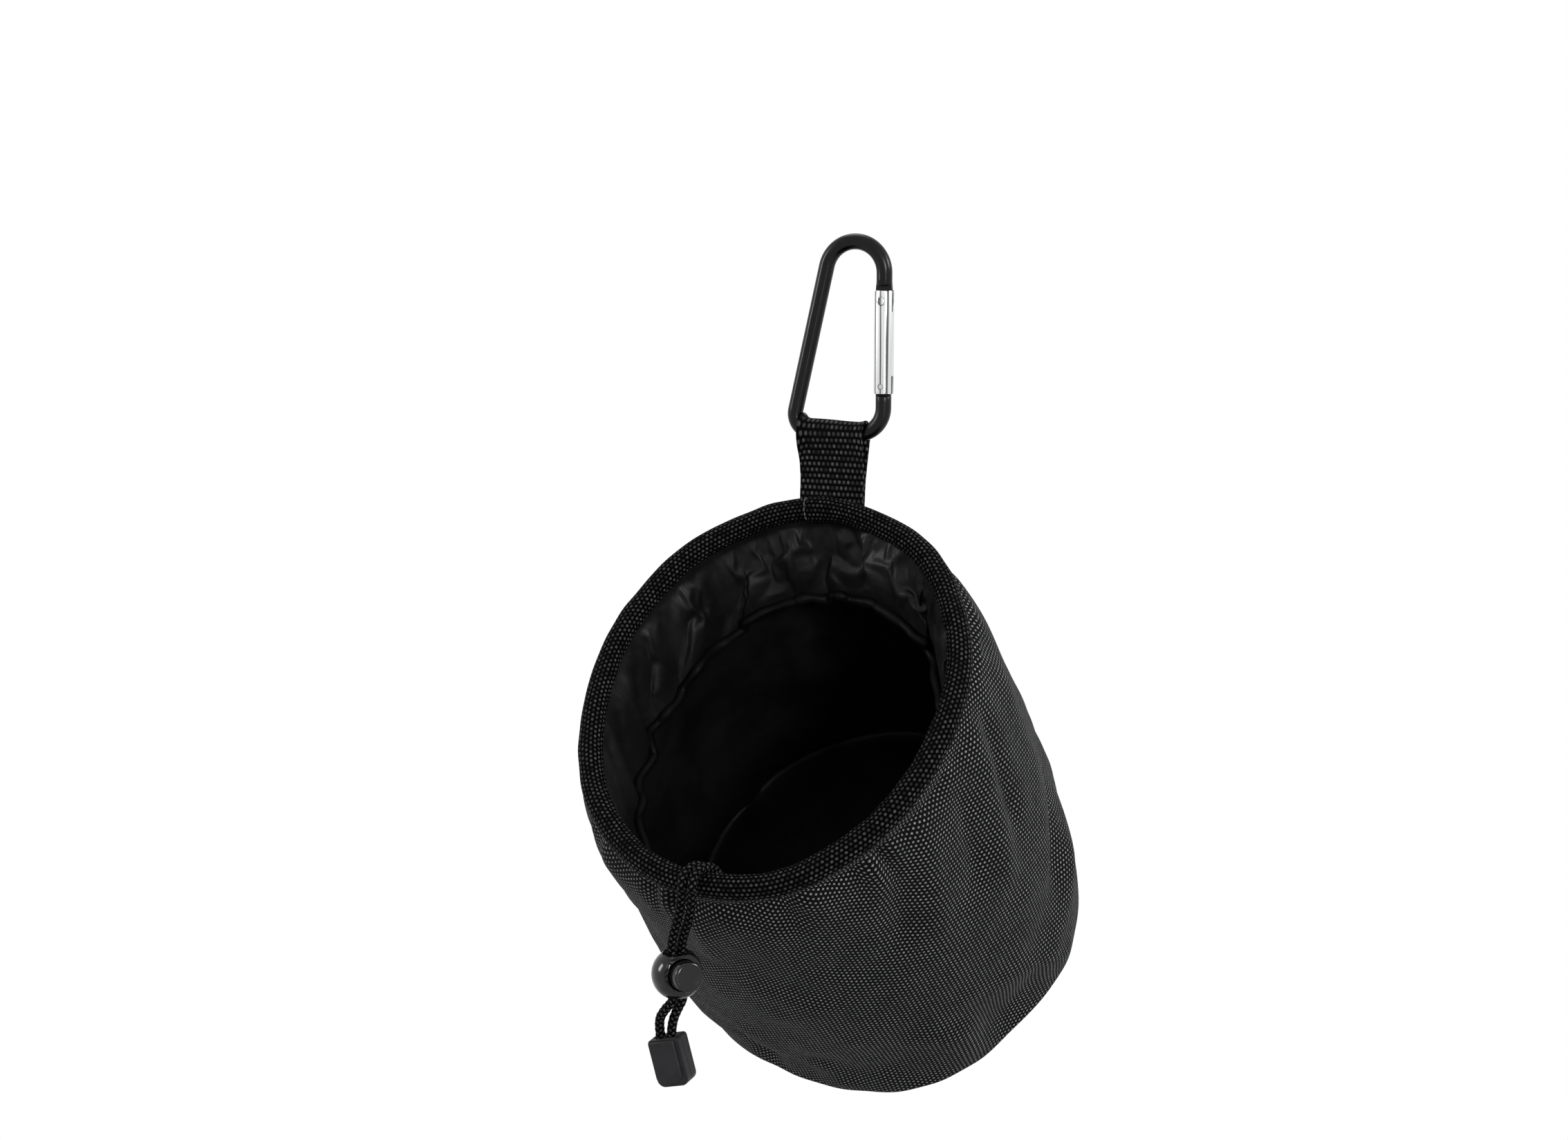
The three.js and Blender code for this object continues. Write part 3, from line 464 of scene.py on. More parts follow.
def braid_finish():
    """Round braid: pairs of strands crossing, with painted shade in the grooves between them and painted
    highlights on their crowns.
    """
    f = Finish("cord_braid", (0.012, 0.012, 0.013), 0.6, shine=0.015)
    u, v = f.uv()
    around, along = u * (BRAID_STRANDS / 2 / (math.pi * CORD * MM)), v / (BRAID_LAY * MM)
    left, right = around + along, around - along + 100.0
    over = (left.floor() + right.floor()) % 2.0
    a, b = left.dome(), right.dome()
    one, two = a * (b * 0.4 + 0.6), b * (a * 0.4 + 0.6)
    strand = over * (one - two) + two
    fibre = f.noise(f.stretch(f.join(u, v), (7000.0, 2500.0, 1.0)), 1.0, 2.0)
    patch = f.noise(f.join(u, v), 400.0, 2.0)
    # Painted shade darkens the grooves, and painted highlights sit on the strand crowns, in patches.
    shaded_ground = f.mix(strand.ramp(0.15, 0.8), (0.0006, 0.0006, 0.0007), (0.004, 0.004, 0.0044))
    painted_tip_highlight = strand.ramp(0.66, 0.98) * patch.ramp(0.3, 0.7, 0.4, 1.0)
    f.color(f.mix(painted_tip_highlight, shaded_ground, (0.085, 0.085, 0.089)))
    f.rough(fibre.ramp(0.2, 0.8, 0.45, 0.75))
    f.bump(strand, 0.8, 0.0003)
    f.bump(fibre, 0.4, 0.0001)
    return f.material


def drawn_lines(f, lines, roughness):
    """Faint drawing lines of a metal, in its gloss and its skin."""
    f.rough(lines.ramp(0.3, 0.7) * 0.12 + roughness)
    f.bump(lines, 0.06, 0.0001)
    return f.material


def metal_finish(name, color, roughness, metallic, wear, streak, shine=0.5):
    """Drawn and polished rod: faint lines, a little haze and dulled spots."""
    f = Finish(name, color, roughness, metallic, shine)
    spot = f.noise(f.place(), 140.0, 4.0)
    f.color(f.mix(spot.ramp(0.35, 0.75), color, tuple(c + wear for c in color)))
    return drawn_lines(f, f.noise(f.stretch(f.place(), streak), 1.0), roughness)


def gate_finish():
    """Bright drawn tube: painted dark reflection stripes run along it between bright bands, with faint drawn
    lines.
    """
    f = Finish("bright_drawn", (0.72, 0.725, 0.73), 0.2, 1.0)
    painted_reflection_band = f.noise(f.stretch(f.place(), (620.0, 620.0, 5.0)), 1.0)
    lines = f.noise(f.stretch(f.place(), (2500.0, 2500.0, 30.0)), 1.0)
    # Painted reflection: dark stripes along the tube, where it would mirror dark surroundings.
    shade = painted_reflection_band.ramp(0.36, 0.52) * lines.ramp(0.3, 0.6, 0.75, 1.0)
    f.color(f.mix(shade, (0.10, 0.10, 0.102), (0.80, 0.805, 0.81)))
    return drawn_lines(f, lines, 0.16)


def plastic_finish(name, color, roughness, grain, depth, shine):
    """Moulded plastic: fine skin texture and slightly uneven gloss."""
    f = Finish(name, color, roughness, shine=shine)
    cloud = f.noise(f.place(), 180.0)
    f.color(f.mix(cloud.ramp(0.3, 0.75), color, tuple(c * 1.35 for c in color)))
    f.rough(cloud.ramp(0.3, 0.7, roughness * 0.85, roughness * 1.2))
    f.bump(f.noise(f.place(), grain), 0.3, depth)
    return f.material


def thread_finish():
    f = Finish("sewing_thread", (0.02, 0.02, 0.022), 0.55, shine=0.06)
    twist = f.noise(f.stretch(f.place(), (3000.0, 3000.0, 9000.0)), 1.0, 2.0)
    f.color(f.mix(twist.ramp(0.3, 0.7), (0.012, 0.012, 0.013), (0.045, 0.045, 0.048)))
    f.bump(twist, 0.4, 0.0001)
    return f.material


SHELL_CLOTH = weave_finish()
# The fourth value of each tape is its painted glint colour on the grain crowns.
BINDING = grain_finish("binding_grain", TAPE_LONG / 250, 0.0014, (0.09, 0.09, 0.0945), 0.012)
WEBBING = grain_finish("webbing_grain", 0.0017, 0.00205, (0.13, 0.13, 0.136), 0.04)
LINING = satin_finish("lining_satin", 1.0, 0.16)
# Painted shade: the hem is the lining satin made darker, so that it reads as a shaded roll.
SHADED_HEM = satin_finish("shaded_hem_satin", 0.55, 0.05)
BRAID = braid_finish()
THREAD = thread_finish()
PALE_THREAD = Finish("join_thread", (0.2, 0.2, 0.205), 0.6, shine=0.06).material
BLACK_METAL = metal_finish(
    "black_anodised", (0.0015, 0.0015, 0.0017), 0.18, 0.0, 0.002, (300.0, 300.0, 60.0), 0.2)
BRIGHT_METAL = gate_finish()
STEEL = metal_finish("satin_steel", (0.5, 0.51, 0.52), 0.28, 1.0, 0.05, (1500.0, 1500.0, 1500.0))
GLOSS = plastic_finish("lock_gloss", (0.004, 0.004, 0.0045), 0.15, 2500.0, 0.00003, 0.35)
MATT = plastic_finish("clip_matt", (0.023, 0.023, 0.0248), 0.45, 5000.0, 0.00006, 0.13)
BOARD = plastic_finish("stiffener_board", (0.03, 0.03, 0.032), 0.6, 3000.0, 0.00005, 0.2)


def settle(obj, held, grow, bend, steps):
    """Lets a slack cloth find its folds, held where it is sewn, and returns its points."""
    group = obj.vertex_groups.new(name="sewn")
    group.add([int(k) for k in held], 1.0, "REPLACE")
    modifier = obj.modifiers.new("drape", "CLOTH")
    cloth = modifier.settings
    cloth.quality = 7
    cloth.mass = 0.12
    cloth.tension_stiffness = cloth.compression_stiffness = 12.0
    cloth.shear_stiffness = 6.0
    cloth.bending_stiffness = bend
    cloth.tension_damping = cloth.compression_damping = 12.0
    cloth.bending_damping = 2.0
    cloth.air_damping = 4.0
    cloth.vertex_group_mass = "sewn"
    cloth.shrink_min = cloth.shrink_max = -grow
    cloth.effector_weights.gravity = 0.6
    modifier.collision_settings.use_collision = False
    modifier.collision_settings.use_self_collision = False
    modifier.point_cache.frame_start = scene.frame_start = 1
    modifier.point_cache.frame_end = scene.frame_end = steps
    for k in range(1, steps + 1):
        scene.frame_set(k)
    done = obj.evaluated_get(bpy.context.evaluated_depsgraph_get())
    mesh = done.to_mesh()
    points = np.empty(len(mesh.vertices) * 3, np.float32)
    mesh.vertices.foreach_get("co", points)
    done.to_mesh_clear()
    obj.modifiers.remove(modifier)
    obj.vertex_groups.remove(group)
    scene.frame_set(1)
    return points.reshape(-1, 3).astype(float)


def from_axis(points):
    """Directions away from the bag's axis."""
    return unit(np.concatenate((points[:, :2], 0 * points[:, :1]), 1))


def draped(obj, rest, held, cloth, reach, give, slip):
    """How far a settled cloth goes inwards and along, kept within reach, give (outwards) and slip."""
    shift = local(settle(obj, held, *cloth))[:len(rest)] - rest
    out = from_axis(rest)
    inward = -(shift * out).sum(1)
    slide = shift + out * inward[:, None]
    size = np.linalg.norm(slide, axis=1, keepdims=True)
    slide = slide * np.minimum(1, slip / np.maximum(size, 1e-9))
    outward = give * np.tanh(inward / give) if give else 0.0
    return np.where(inward > 0, reach * np.tanh(inward / reach), outward), slide


def reshaped(obj, points):
    obj.data.vertices.foreach_set("co", points.astype(np.float32).ravel())
    obj.data.update()


def smoothed(obj):
    modifier = obj.modifiers.new("smooth", "SUBSURF")
    modifier.levels = modifier.render_levels = 1


def solid(name, build, material):
    """Piece from a bmesh function, in millimetres about the origin."""
    bm = bmesh.new()
    build(bm)
    bmesh.ops.recalc_face_normals(bm, faces=bm.faces)
    mesh = bpy.data.meshes.new(name)
    bm.to_mesh(mesh)
    bm.free()
    mesh.materials.append(material)
    return linked(name, mesh)


def lathe(bm, profile, sides, axis="Z"):
    """Turned form: pairs of radius and height, from axis to axis."""
    rings = []
    for radius, height in profile:
        spots = circle(radius, sides) if radius > 1e-6 else [(0, 0)]
        rings.append([bm.verts.new((x, y, height)) for x, y in spots])
    for low, high in zip(rings, rings[1:]):
        for k in range(sides):
            n = (k + 1) % sides
            corners = [low[k % len(low)], low[n % len(low)], high[n % len(high)], high[k % len(high)]]
            bm.faces.new(list(dict.fromkeys(corners)))
    if axis == "Y":
        bmesh.ops.rotate(bm, verts=bm.verts, matrix=Matrix.Rotation(-math.pi / 2, 3, "X"))


def extruded(bm, outline, low, high):
    """Outline in x and z, drawn out along y."""
    front = [bm.verts.new((x, low, z)) for x, z in outline]
    back = [bm.verts.new((x, high, z)) for x, z in outline]
    bm.faces.new(front)
    bm.faces.new(back[::-1])
    for k in range(len(outline)):
        n = (k + 1) % len(outline)
        bm.faces.new((front[k], back[k], back[n], front[n]))


def arc(x, z, radius, start, stop, count):
    spin = np.radians(np.linspace(start, stop, count + 1))
    return [(x + radius * math.cos(s), z + radius * math.sin(s)) for s in spin]


def fit(obj, body, slot, *nodes):
    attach(obj, body)
    if nodes:
        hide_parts(*nodes)


ROUND_OVER, SMOOTH_UNDER = math.radians(32), math.radians(40)


def hard_piece(name, form, material, matrix, edge, segments, where, cuts=()):
    """A form less its cuts, with edges rounded over, put in its place and fitted to its body."""
    piece = solid(name, form, material)
    tools = [solid("cut", build, material) for build in cuts]
    for tool in tools:
        modifier = piece.modifiers.new("cut", "BOOLEAN")
        modifier.operation = "DIFFERENCE"
        modifier.solver = "EXACT"
        modifier.object = tool
    modifier = piece.modifiers.new("edges", "BEVEL")
    modifier.width = edge
    modifier.segments = segments
    modifier.limit_method = "ANGLE"
    modifier.angle_limit = ROUND_OVER
    view = bpy.context.evaluated_depsgraph_get()
    mesh = bpy.data.meshes.new_from_object(piece.evaluated_get(view))
    piece.modifiers.clear()
    spent = [piece.data] + [tool.data for tool in tools]
    piece.data = mesh
    mesh.name = name
    for tool in tools:
        bpy.data.objects.remove(tool)
    for old in spent:
        bpy.data.meshes.remove(old)
    mesh.polygons.foreach_set("use_smooth", np.ones(len(mesh.polygons), bool))
    mesh.set_sharp_from_angle(angle=SMOOTH_UNDER)
    mesh.transform(matrix)
    mesh.transform(Matrix.Scale(MM, 4))
    fit(piece, *where)
    return piece


# Camera, where the photograph was taken from; its focal length and width are in pixels.
FOCAL, PHOTO_WIDTH = 2800, 2268
view = bpy.data.cameras.new("camera")
view.sensor_width = 36.0
view.lens = 36.0 * FOCAL / PHOTO_WIDTH
view.clip_start = 0.01
camera = linked("camera", view)
camera.location = (0.2260, -0.6, -0.00104)
camera.rotation_euler = (math.radians(90 - 9.31), 0, math.radians(22.72))
scene.camera = camera


# Drawcord: a hanging pair of legs under the front of the rim.
CORD_SIDES, CORD_STEP = 36, 0.25
exit_point = world((CORD_SHIFT, -RIM_END - WRAP * COS, WRAP * SIN)) / MM
lock_frame = (Matrix.Translation(exit_point + (LOCK_SHIFT, 0, -LOCK_DROP))
              @ Matrix.Rotation(math.radians(LOCK_TURN), 4, "Z"))
clip_frame = (Matrix.Translation(exit_point + (CLIP_SHIFT, 0, -CLIP_DROP))
              @ Matrix.Rotation(math.radians(CLIP_TILT), 4, "Y"))


def braided(surface, path):
    """Round braid: two sets of strands crossing over and under each other."""
    spin = np.arange(CORD_SIDES) / CORD_SIDES
    run = run_along(path)
    left = spin[None, :] * BRAID_STRANDS / 2 + run[:, None] / BRAID_LAY
    right = spin[None, :] * BRAID_STRANDS / 2 - run[:, None] / BRAID_LAY + 100
    a, b = (1 - 4 * (x % 1 - 0.5) ** 2 for x in (left, right))
    over = (np.floor(left) + np.floor(right)) % 2 > 0.5
    strand = np.where(over, a * (0.6 + 0.4 * b), b * (0.6 + 0.4 * a))
    radius = CORD / 2 - 0.2 + 0.28 * strand
    section = np.stack((np.cos(spin * 2 * np.pi) * radius, np.sin(spin * 2 * np.pi) * radius), -1)
    around = shares(CORD_SIDES, np.pi * CORD * MM)
    surface.tube(swept(path, section, (1, 0, 0)) * MM, run * MM, around, (path[0] * MM, path[-1] * MM))


def leg(handed):
    top, low = LOCK_DROP - LOCK_RADIUS - 0.6, LOCK_DROP + LOCK_RADIUS + 0.6
    # Drop, middle of the pair, half its spread and its turn in degrees.
    stations = [
        (-0.3, 0, LEG_HALF, 0),
        (top * 0.27, LOCK_SHIFT * 0.1, LEG_HALF, 8),
        (top * 0.55, LOCK_SHIFT * 0.42, LEG_HALF + 0.05, 24),
        (top * 0.82, LOCK_SHIFT * 0.85, LEG_HALF, 40),
    ]
    for drop in (top, LOCK_DROP - 3, LOCK_DROP, LOCK_DROP + 3, low):
        stations.append((drop, LOCK_SHIFT, LEG_HALF, LOCK_TURN))
    stations += [
        (low + 2.6, LOCK_SHIFT - 1.6, LEG_HALF + 0.3, LOCK_TURN - 9),
        (low + 6.4, LOCK_SHIFT - 3.5, LEG_HALF + 0.4, 18),
    ]
    points = []
    for drop, middle, spread, turn in stations:
        t = math.radians(turn)
        across = handed * spread
        points.append(exit_point + (middle + across * math.cos(t), across * math.sin(t), -drop))
    for height in (CLIP_HALF_Z, (CLIP_HALF_Z + 1.4) / 2, 1.7):
        points.append(np.array(clip_frame @ Vector((handed * CLIP_LEG, 0, height))))
    return points


legs = {}
for side_name, handed in (("left", -1), ("right", 1)):
    path, length = spline(leg(handed), CORD_STEP)
    surface = Surface()
    braided(surface, path)
    cord = surface.done(f"drawcord_{side_name}", BRAID)
    fit(cord, "cord", "cord_braid", f"drawcord_{side_name}_leg")
    legs[side_name] = (cord, path * MM, length * MM)


# Cord lock: ball with a flat face, a wide bore for the button and an upright slot for the legs.
BUTTON, FACE, BUTTON_OUT, LOCK_FLAT = 4.5, -4.5, 4.8, 6.4
PUSH_WALL, PUSH_ROOM, PUSH_FREE, SPRING_BORE, SPRING_ROOM = 1.2, 1.6, 0.65, 2.3, 1.6
slot_x, slot_y = LEG_HALF + CORD / 2 + CLEAR, CORD / 2 + CLEAR
push_end = slot_y + PUSH_WALL
front = FACE - BUTTON_OUT


def ball(bm):
    bmesh.ops.create_uvsphere(bm, u_segments=64, v_segments=40, radius=LOCK_RADIUS)


def block(low, high):
    def build(bm):
        bmesh.ops.create_cube(bm, size=1.0)
        bmesh.ops.scale(bm, vec=[b - a for a, b in zip(low, high)], verts=bm.verts)
        bmesh.ops.translate(bm, vec=[(a + b) / 2 for a, b in zip(low, high)], verts=bm.verts)
    return build


def bar(radius, low, high, sides=48, z=0.0):
    def build(bm):
        lathe(bm, [(0, low), (radius, low), (radius, high), (0, high)], sides, "Y")
        bmesh.ops.translate(bm, vec=(0, 0, z), verts=bm.verts)
    return build


def slot_bar(half_x, half_y, height, shift=0.0):
    def build(bm):
        inner = half_x - half_y
        outline = arc(inner, 0, half_y, -90, 90, 12) + arc(-inner, 0, half_y, 90, 270, 12)
        extruded(bm, outline, -height / 2, height / 2)
        bmesh.ops.rotate(bm, verts=bm.verts, matrix=Matrix.Rotation(math.pi / 2, 3, "X"))
        bmesh.ops.translate(bm, vec=(0, shift, 0), verts=bm.verts)
    return build


def pitched(build):
    """The same form, leaning as the face of the lock does."""
    def turned(bm):
        build(bm)
        bmesh.ops.rotate(bm, verts=bm.verts, matrix=Matrix.Rotation(math.radians(-LOCK_PITCH), 3, "X"))
    return turned


# Cut away: the face, the bores of button and spring, the slot for the legs, flats on top and under.
hard_piece("cord_lock_ball", ball, GLOSS, lock_frame, 0.3, 3, ("lock", "lock_plastic", "cord_lock_barrel"), (
    pitched(block((-20, -20, -20), (20, FACE, 20))),
    pitched(bar(BUTTON + 0.32, -20, push_end + PUSH_ROOM)),
    pitched(bar(SPRING_BORE, 0, push_end + PUSH_ROOM + SPRING_ROOM)),
    slot_bar(slot_x, slot_y, 40),
    block((-20, -20, LOCK_FLAT), (20, 20, 20)),
    block((-20, -20, -20), (20, 20, -LOCK_FLAT)),
))


def button_form(bm):
    lathe(bm, [
        (0, front + 0.4), (BUTTON * 0.5, front + 0.3), (BUTTON - 1.3, front + 0.05), (BUTTON - 0.9, front),
        (BUTTON - 0.4, front + 0.12), (BUTTON - 0.12, front + 0.4), (BUTTON, front + 0.9),
        (BUTTON, push_end), (0, push_end),
    ], 64, "Y")


hard_piece("cord_lock_push", pitched(button_form), GLOSS, lock_frame, 0.12, 2,
           ("button", "lock_plastic", "cord_lock_button"),
           (slot_bar(slot_x, slot_y + PUSH_FREE, 30, -PUSH_FREE),))


# End clip: two shells closed over the knot, a raised lid with a rounded foot on the front.
def clip_outline():
    x, z, top, foot = CLIP_HALF_X, CLIP_HALF_Z, 1, 2.4
    return (arc(x - top, z - top, top, 0, 90, 5) + arc(top - x, z - top, top, 90, 180, 5)
            + arc(foot - x, foot - z, foot, 180, 270, 8) + arc(x - foot, foot - z, foot, 270, 360, 8))


def cord_way(handed):
    def build(bm):
        radius = CORD / 2 + 0.25
        lathe(bm, [(0, 0), (radius, 0), (radius, 12), (0, 12)], 24)
        bmesh.ops.translate(bm, vec=(handed * CLIP_LEG, 0, 1.5), verts=bm.verts)
    return build


def half_clip(name, low, high):
    def form(bm):
        extruded(bm, clip_outline(), low, high)
    return hard_piece(f"cord_end_{name}", form, MATT, clip_frame, 0.7, 4,
                      ("cord", "clip_plastic", f"cord_end_{name}_shell"), (cord_way(-1), cord_way(1)))


def lid_form(bm):
    left, right, top, foot = -CLIP_HALF_X + 0.35, CLIP_HALF_X - 1.5, CLIP_HALF_Z - 0.4, 3.1 - CLIP_HALF_Z
    middle, half = (left + right) / 2, (right - left) / 2
    spin = np.radians(np.linspace(180, 360, 19))
    under = [(middle + half * math.cos(t), foot + 1.7 * math.sin(t)) for t in spin]
    extruded(bm, [(right, top), (left, top)] + under, -3.6, -2.2)


back_clip = half_clip("back", 0.06, 3.2)
front_clip = half_clip("front", -2.6, -0.06)
lid = hard_piece("cord_end_lid", lid_form, MATT, clip_frame, 0.5, 4, ("cord", "clip_plastic"))

for side_name, (cord, path, length) in legs.items():
    [tuple(p) for p in path[::4]] + [tuple(path[-1])]
    [front_clip, lid] if side_name == "left" else [back_clip]


# Carabiner: bent rod with a hinge tang and a latch tongue.
ROD_SIDES, TANG_HALF = 36, 0.9
hinge_z = GATE_TOP + math.hypot(GATE_RADIUS, RIVET_DROP) - RIVET_DROP + CLEAR
nose_z = gate_bottom - 0.6
latch_z = gate_bottom + LATCH_RISE


def straight(a, b, step=1.5):
    count = max(int(math.dist(a, b) / step), 1)
    return [tuple(np.asarray(a) + (np.asarray(b) - np.asarray(a)) * k / count) for k in range(count)]


rod_line = straight((ARCH, nose_z), (ARCH, BAR_Z + NOSE_CURVE))
rod_line += arc(ARCH - NOSE_CURVE, BAR_Z + NOSE_CURVE, NOSE_CURVE, 0, -90, 16)[:-1]
rod_line += straight((ARCH - NOSE_CURVE, BAR_Z), (bar_left, BAR_Z))
rod_line += arc(bar_left, BAR_Z + HEEL, HEEL, -90, -180 - LEAN, 16)[:-1]
heel_end = (bar_left - HEEL * math.cos(lean), BAR_Z + HEEL + HEEL * math.sin(lean))
rod_line += straight(heel_end, (spine_x, spine_z))
rod_line += arc(0, arch_z, ARCH, 180 - LEAN, 0, 36)[:-1]
rod_line += straight((ARCH, arch_z), (ARCH, hinge_z)) + [(ARCH, hinge_z)]
rod_path = np.array([(x, 0.0, z) for x, z in rod_line])
# Both ends are rounded over.
starts = [rod_path[0] + (0, 0, k) for k in (0, -0.12, -0.35)]
stops = [rod_path[-1] + (0, 0, k) for k in (0.35, 0.12, 0)]
rod_path = np.vstack((starts, rod_path[1:-1], stops))
swell = np.full(len(rod_path), ROD)
swell[[0, -1]] = ROD - 0.4
swell[[1, -2]] = ROD - 0.12
section = circle(1.0, ROD_SIDES)[None] * swell[:, None, None]
rod = Surface()
rod.tube(swept(rod_path, section, (0, 1, 0)) * MM, run_along(rod_path) * MM, shares(ROD_SIDES, ROD_ROUND),
         (rod_path[0] * MM, rod_path[-1] * MM))
fit(rod.done("carabiner_rod", BLACK_METAL, sharp=50), "carabiner", "black_aluminium", "carabiner_body")


def tang_form(bm):
    half = ROD - 0.1
    outline = [(-half, hinge_z + 1.5)] + arc(0, RIVET_Z, 3.0, 180, 360, 18) + [(half, hinge_z + 1.5)]
    extruded(bm, outline, -TANG_HALF, TANG_HALF)


def tongue_form(bm):
    top, half, notch = gate_bottom + 5.4, ROD - 0.1, 1.2
    outline = [(-half, nose_z - 1.5), (half, nose_z - 1.5)]
    outline += [(half, top - 1), (half - 1, top), (1 - half, top), (-half, top - 1), (-half, latch_z + notch)]
    outline += arc(0, latch_z, notch, 90, -90, 10) + [(-half, latch_z - notch)]
    extruded(bm, outline, -TANG_HALF, TANG_HALF)


gate_frame = Matrix.Translation((ARCH, 0, 0))
for name, form in (("carabiner_tang", tang_form), ("carabiner_tongue", tongue_form)):
    hard_piece(name, form, BLACK_METAL, gate_frame, 0.2, 2, ("carabiner", "black_aluminium"))


# Gate: slotted tube with a rivet at the hinge and a pin at the latch.
def gate_form(bm):
    edge = [(0, 0), (GATE_RADIUS - 0.4, 0), (GATE_RADIUS - 0.1, 0.15), (GATE_RADIUS, 0.45)]
    lathe(bm, [(r, gate_bottom + h) for r, h in edge] + [(r, GATE_TOP - h) for r, h in reversed(edge)], 56)


# Cut away: slots for the tang and the tongue, holes for the rivet and the pin.
hard_piece("gate_tube", gate_form, BRIGHT_METAL, gate_frame, 0.12, 2,
           ("gate", "bright_aluminium", "carabiner_gate"), (
    block((-9, -1.2, GATE_TOP - 7), (9, 1.2, 0)),
    block((-9, -1.2, gate_bottom - 4), (9, 1.2, gate_bottom + 6)),
    bar(1.15, -9, 9, 32, RIVET_Z),
    bar(0.95, -9, 9, 32, latch_z),
))


def rivet_form(bm):
    inner, outer = GATE_RADIUS + 0.15, GATE_RADIUS + 0.6
    half = [(0, outer - 0.12), (0.7, outer), (1.15, outer - 0.08), (1.4, outer - 0.28)]
    half += [(1.4, inner), (1.0, inner)]
    lathe(bm, [(r, -h) for r, h in half] + [(r, h) for r, h in reversed(half)], 32, "Y")
    bmesh.ops.translate(bm, vec=(0, 0, RIVET_Z), verts=bm.verts)


hard_piece("gate_rivet", rivet_form, BRIGHT_METAL, gate_frame, 0.05, 1, ("gate", "steel", "gate_hinge_rivet"))


# Outer shell: a soft loft that is gathered into the binding, bellies out and creases above its base.
TURNS, AROUND, DEGREE, CREASE_LIFT = 320, 66, 1.2, 1.6
angle = turns(TURNS)
degrees = np.degrees(angle)[None]

# Swellings: degrees round the wall, their half width, height v, how far out, half length.
SWELLINGS = [
    (62, 38, -15, 4.0, 26), (52, 12, -53, 0.8, 12), (60, 16, -94, -2.0, 20), (70, 18, -136, -1.6, 20),
    (122, 14, -131, -2.8, 14), (185, 20, -129, -3.4, 20), (155, 14, -137, 2.3, 16), (215, 26, -34, 2.4, 22),
    (231, 20, -18, 4.0, 14), (260, 24, -114, 1.8, 26), (300, 40, -40, 2.2, 26), (330, 20, -112, -1.6, 18),
    (25, 22, -120, 1.5, 24),
]
# Creases: degrees and v at the start and at the stop, then half width and how far out.
CREASES = [
    (84, -8, 98, -62, 4.0, -1.3), (92, -10, 108, -70, 5.0, 1.0), (104, -10, 116, -58, 4.5, -1.1),
    (118, -9, 132, -66, 6.0, 0.9), (128, -10, 140, -52, 5.0, -0.9), (70, -14, 78, -70, 6.0, 0.8),
    (69, -80, 96, -104, 6.0, -1.4), (76, -108, 112, -122, 8.0, 1.3), (98, -140, 118, -104, 6.0, 1.3),
    (124, -140, 133, -104, 7.0, -0.8), (134, -141, 146, -100, 7.0, 1.4), (152, -141, 160, -118, 6.0, -0.9),
    (174, -141, 178, -120, 7.0, 0.9), (196, -141, 204, -104, 6.0, -1.6), (212, -140, 220, -80, 7.0, 1.0),
    (186, -10, 190, -48, 4.0, 0.9), (158, -9, 164, -40, 4.0, -0.8), (230, -12, 238, -60, 5.0, -1.2),
    (246, -12, 250, -76, 6.0, 1.2), (268, -14, 262, -84, 5.0, -1.2), (282, -90, 300, -140, 7.0, -1.4),
    (318, -20, 310, -96, 6.0, 1.1), (338, -30, 332, -110, 6.0, -1.1), (20, -44, 14, -120, 6.0, 1.2),
    (40, -18, 46, -96, 6.0, -1.2), (56, -60, 50, -140, 7.0, 1.2), (352, -60, 2, -140, 7.0, -1.0),
]


def crease(v, start, top, stop, bottom, width, height):
    """Soft ridge or valley along a line between two places on the wall."""
    way = np.array((apart(stop, start) * DEGREE, bottom - top))
    span = np.linalg.norm(way)
    way = way / span
    x, y = apart(degrees, start) * DEGREE, v[:, None] - top
    t = (x * way[0] + y * way[1]) / span
    fade = smoothstep(-0.15, 0.25, t) * (1 - smoothstep(0.7, 1.15, t))
    return height * fade * hill(x * -way[1] + y * way[0], width)


def shell_offset(v):
    """How far the cloth stands off its plain loft, in millimetres."""
    depth, turn = -v[:, None], angle[None]
    total = np.zeros((len(v), TURNS))
    for at, across, centre, height, down in SWELLINGS:
        total += height * hill(apart(degrees, at), across) * hill(v[:, None] - centre, down)
    for *line, height in CREASES:
        total += crease(v, *line, height * CREASE_LIFT)
    # Puckers under the binding, and a groove under it along the front.
    slow = 0.9 * np.sin(3 * turn + 0.4) + 0.7 * np.sin(7 * turn + 1.9) + 0.5 * np.sin(11 * turn)
    pucker = np.sin(21 * turn + 2.2 * slow) + 0.5 * np.sin(37 * turn + 2.0 * slow + 1.0)
    strength = 0.6 + 0.4 * np.sin(2 * turn + 0.6 * slow + 2.0)
    total += 1.25 * strength * pucker * smoothstep(4.5, 9, depth) * hill(depth - 9, 10.0)
    total += -1.3 * hill(apart(degrees, 170), 75, 4) * hill(depth - 7.5, 3.2)
    # Slow and fine unevenness of the free cloth.
    free = smoothstep(6, 22, depth) * (1 - smoothstep(DEPTH - 16, DEPTH - 1, depth) * 0.75)
    near = np.cos(turn) * AROUND + 200
    total += free * 0.9 * ripples(np.sin(turn) * AROUND + 0 * depth, depth + near * 0.7, 5, 14, 38, 95)
    total += free * 0.28 * ripples(turn * AROUND, depth + 0 * turn, 8, 14, 12, 26) * np.abs(np.sin(turn / 2))
    strap = hill(apart(degrees, 0), 15, 4) * (1 - smoothstep(38, 56, depth))
    return total * (1 - strap) * smoothstep(2.5, 7, depth)


def dents(v, count):
    return resampled(np.maximum(-shell_offset(v), 0), count)


def shell_ovals(v):
    return shell_radius(SHELL_SIDE, v)[:, None], shell_radius(SHELL_END, v)[:, None]


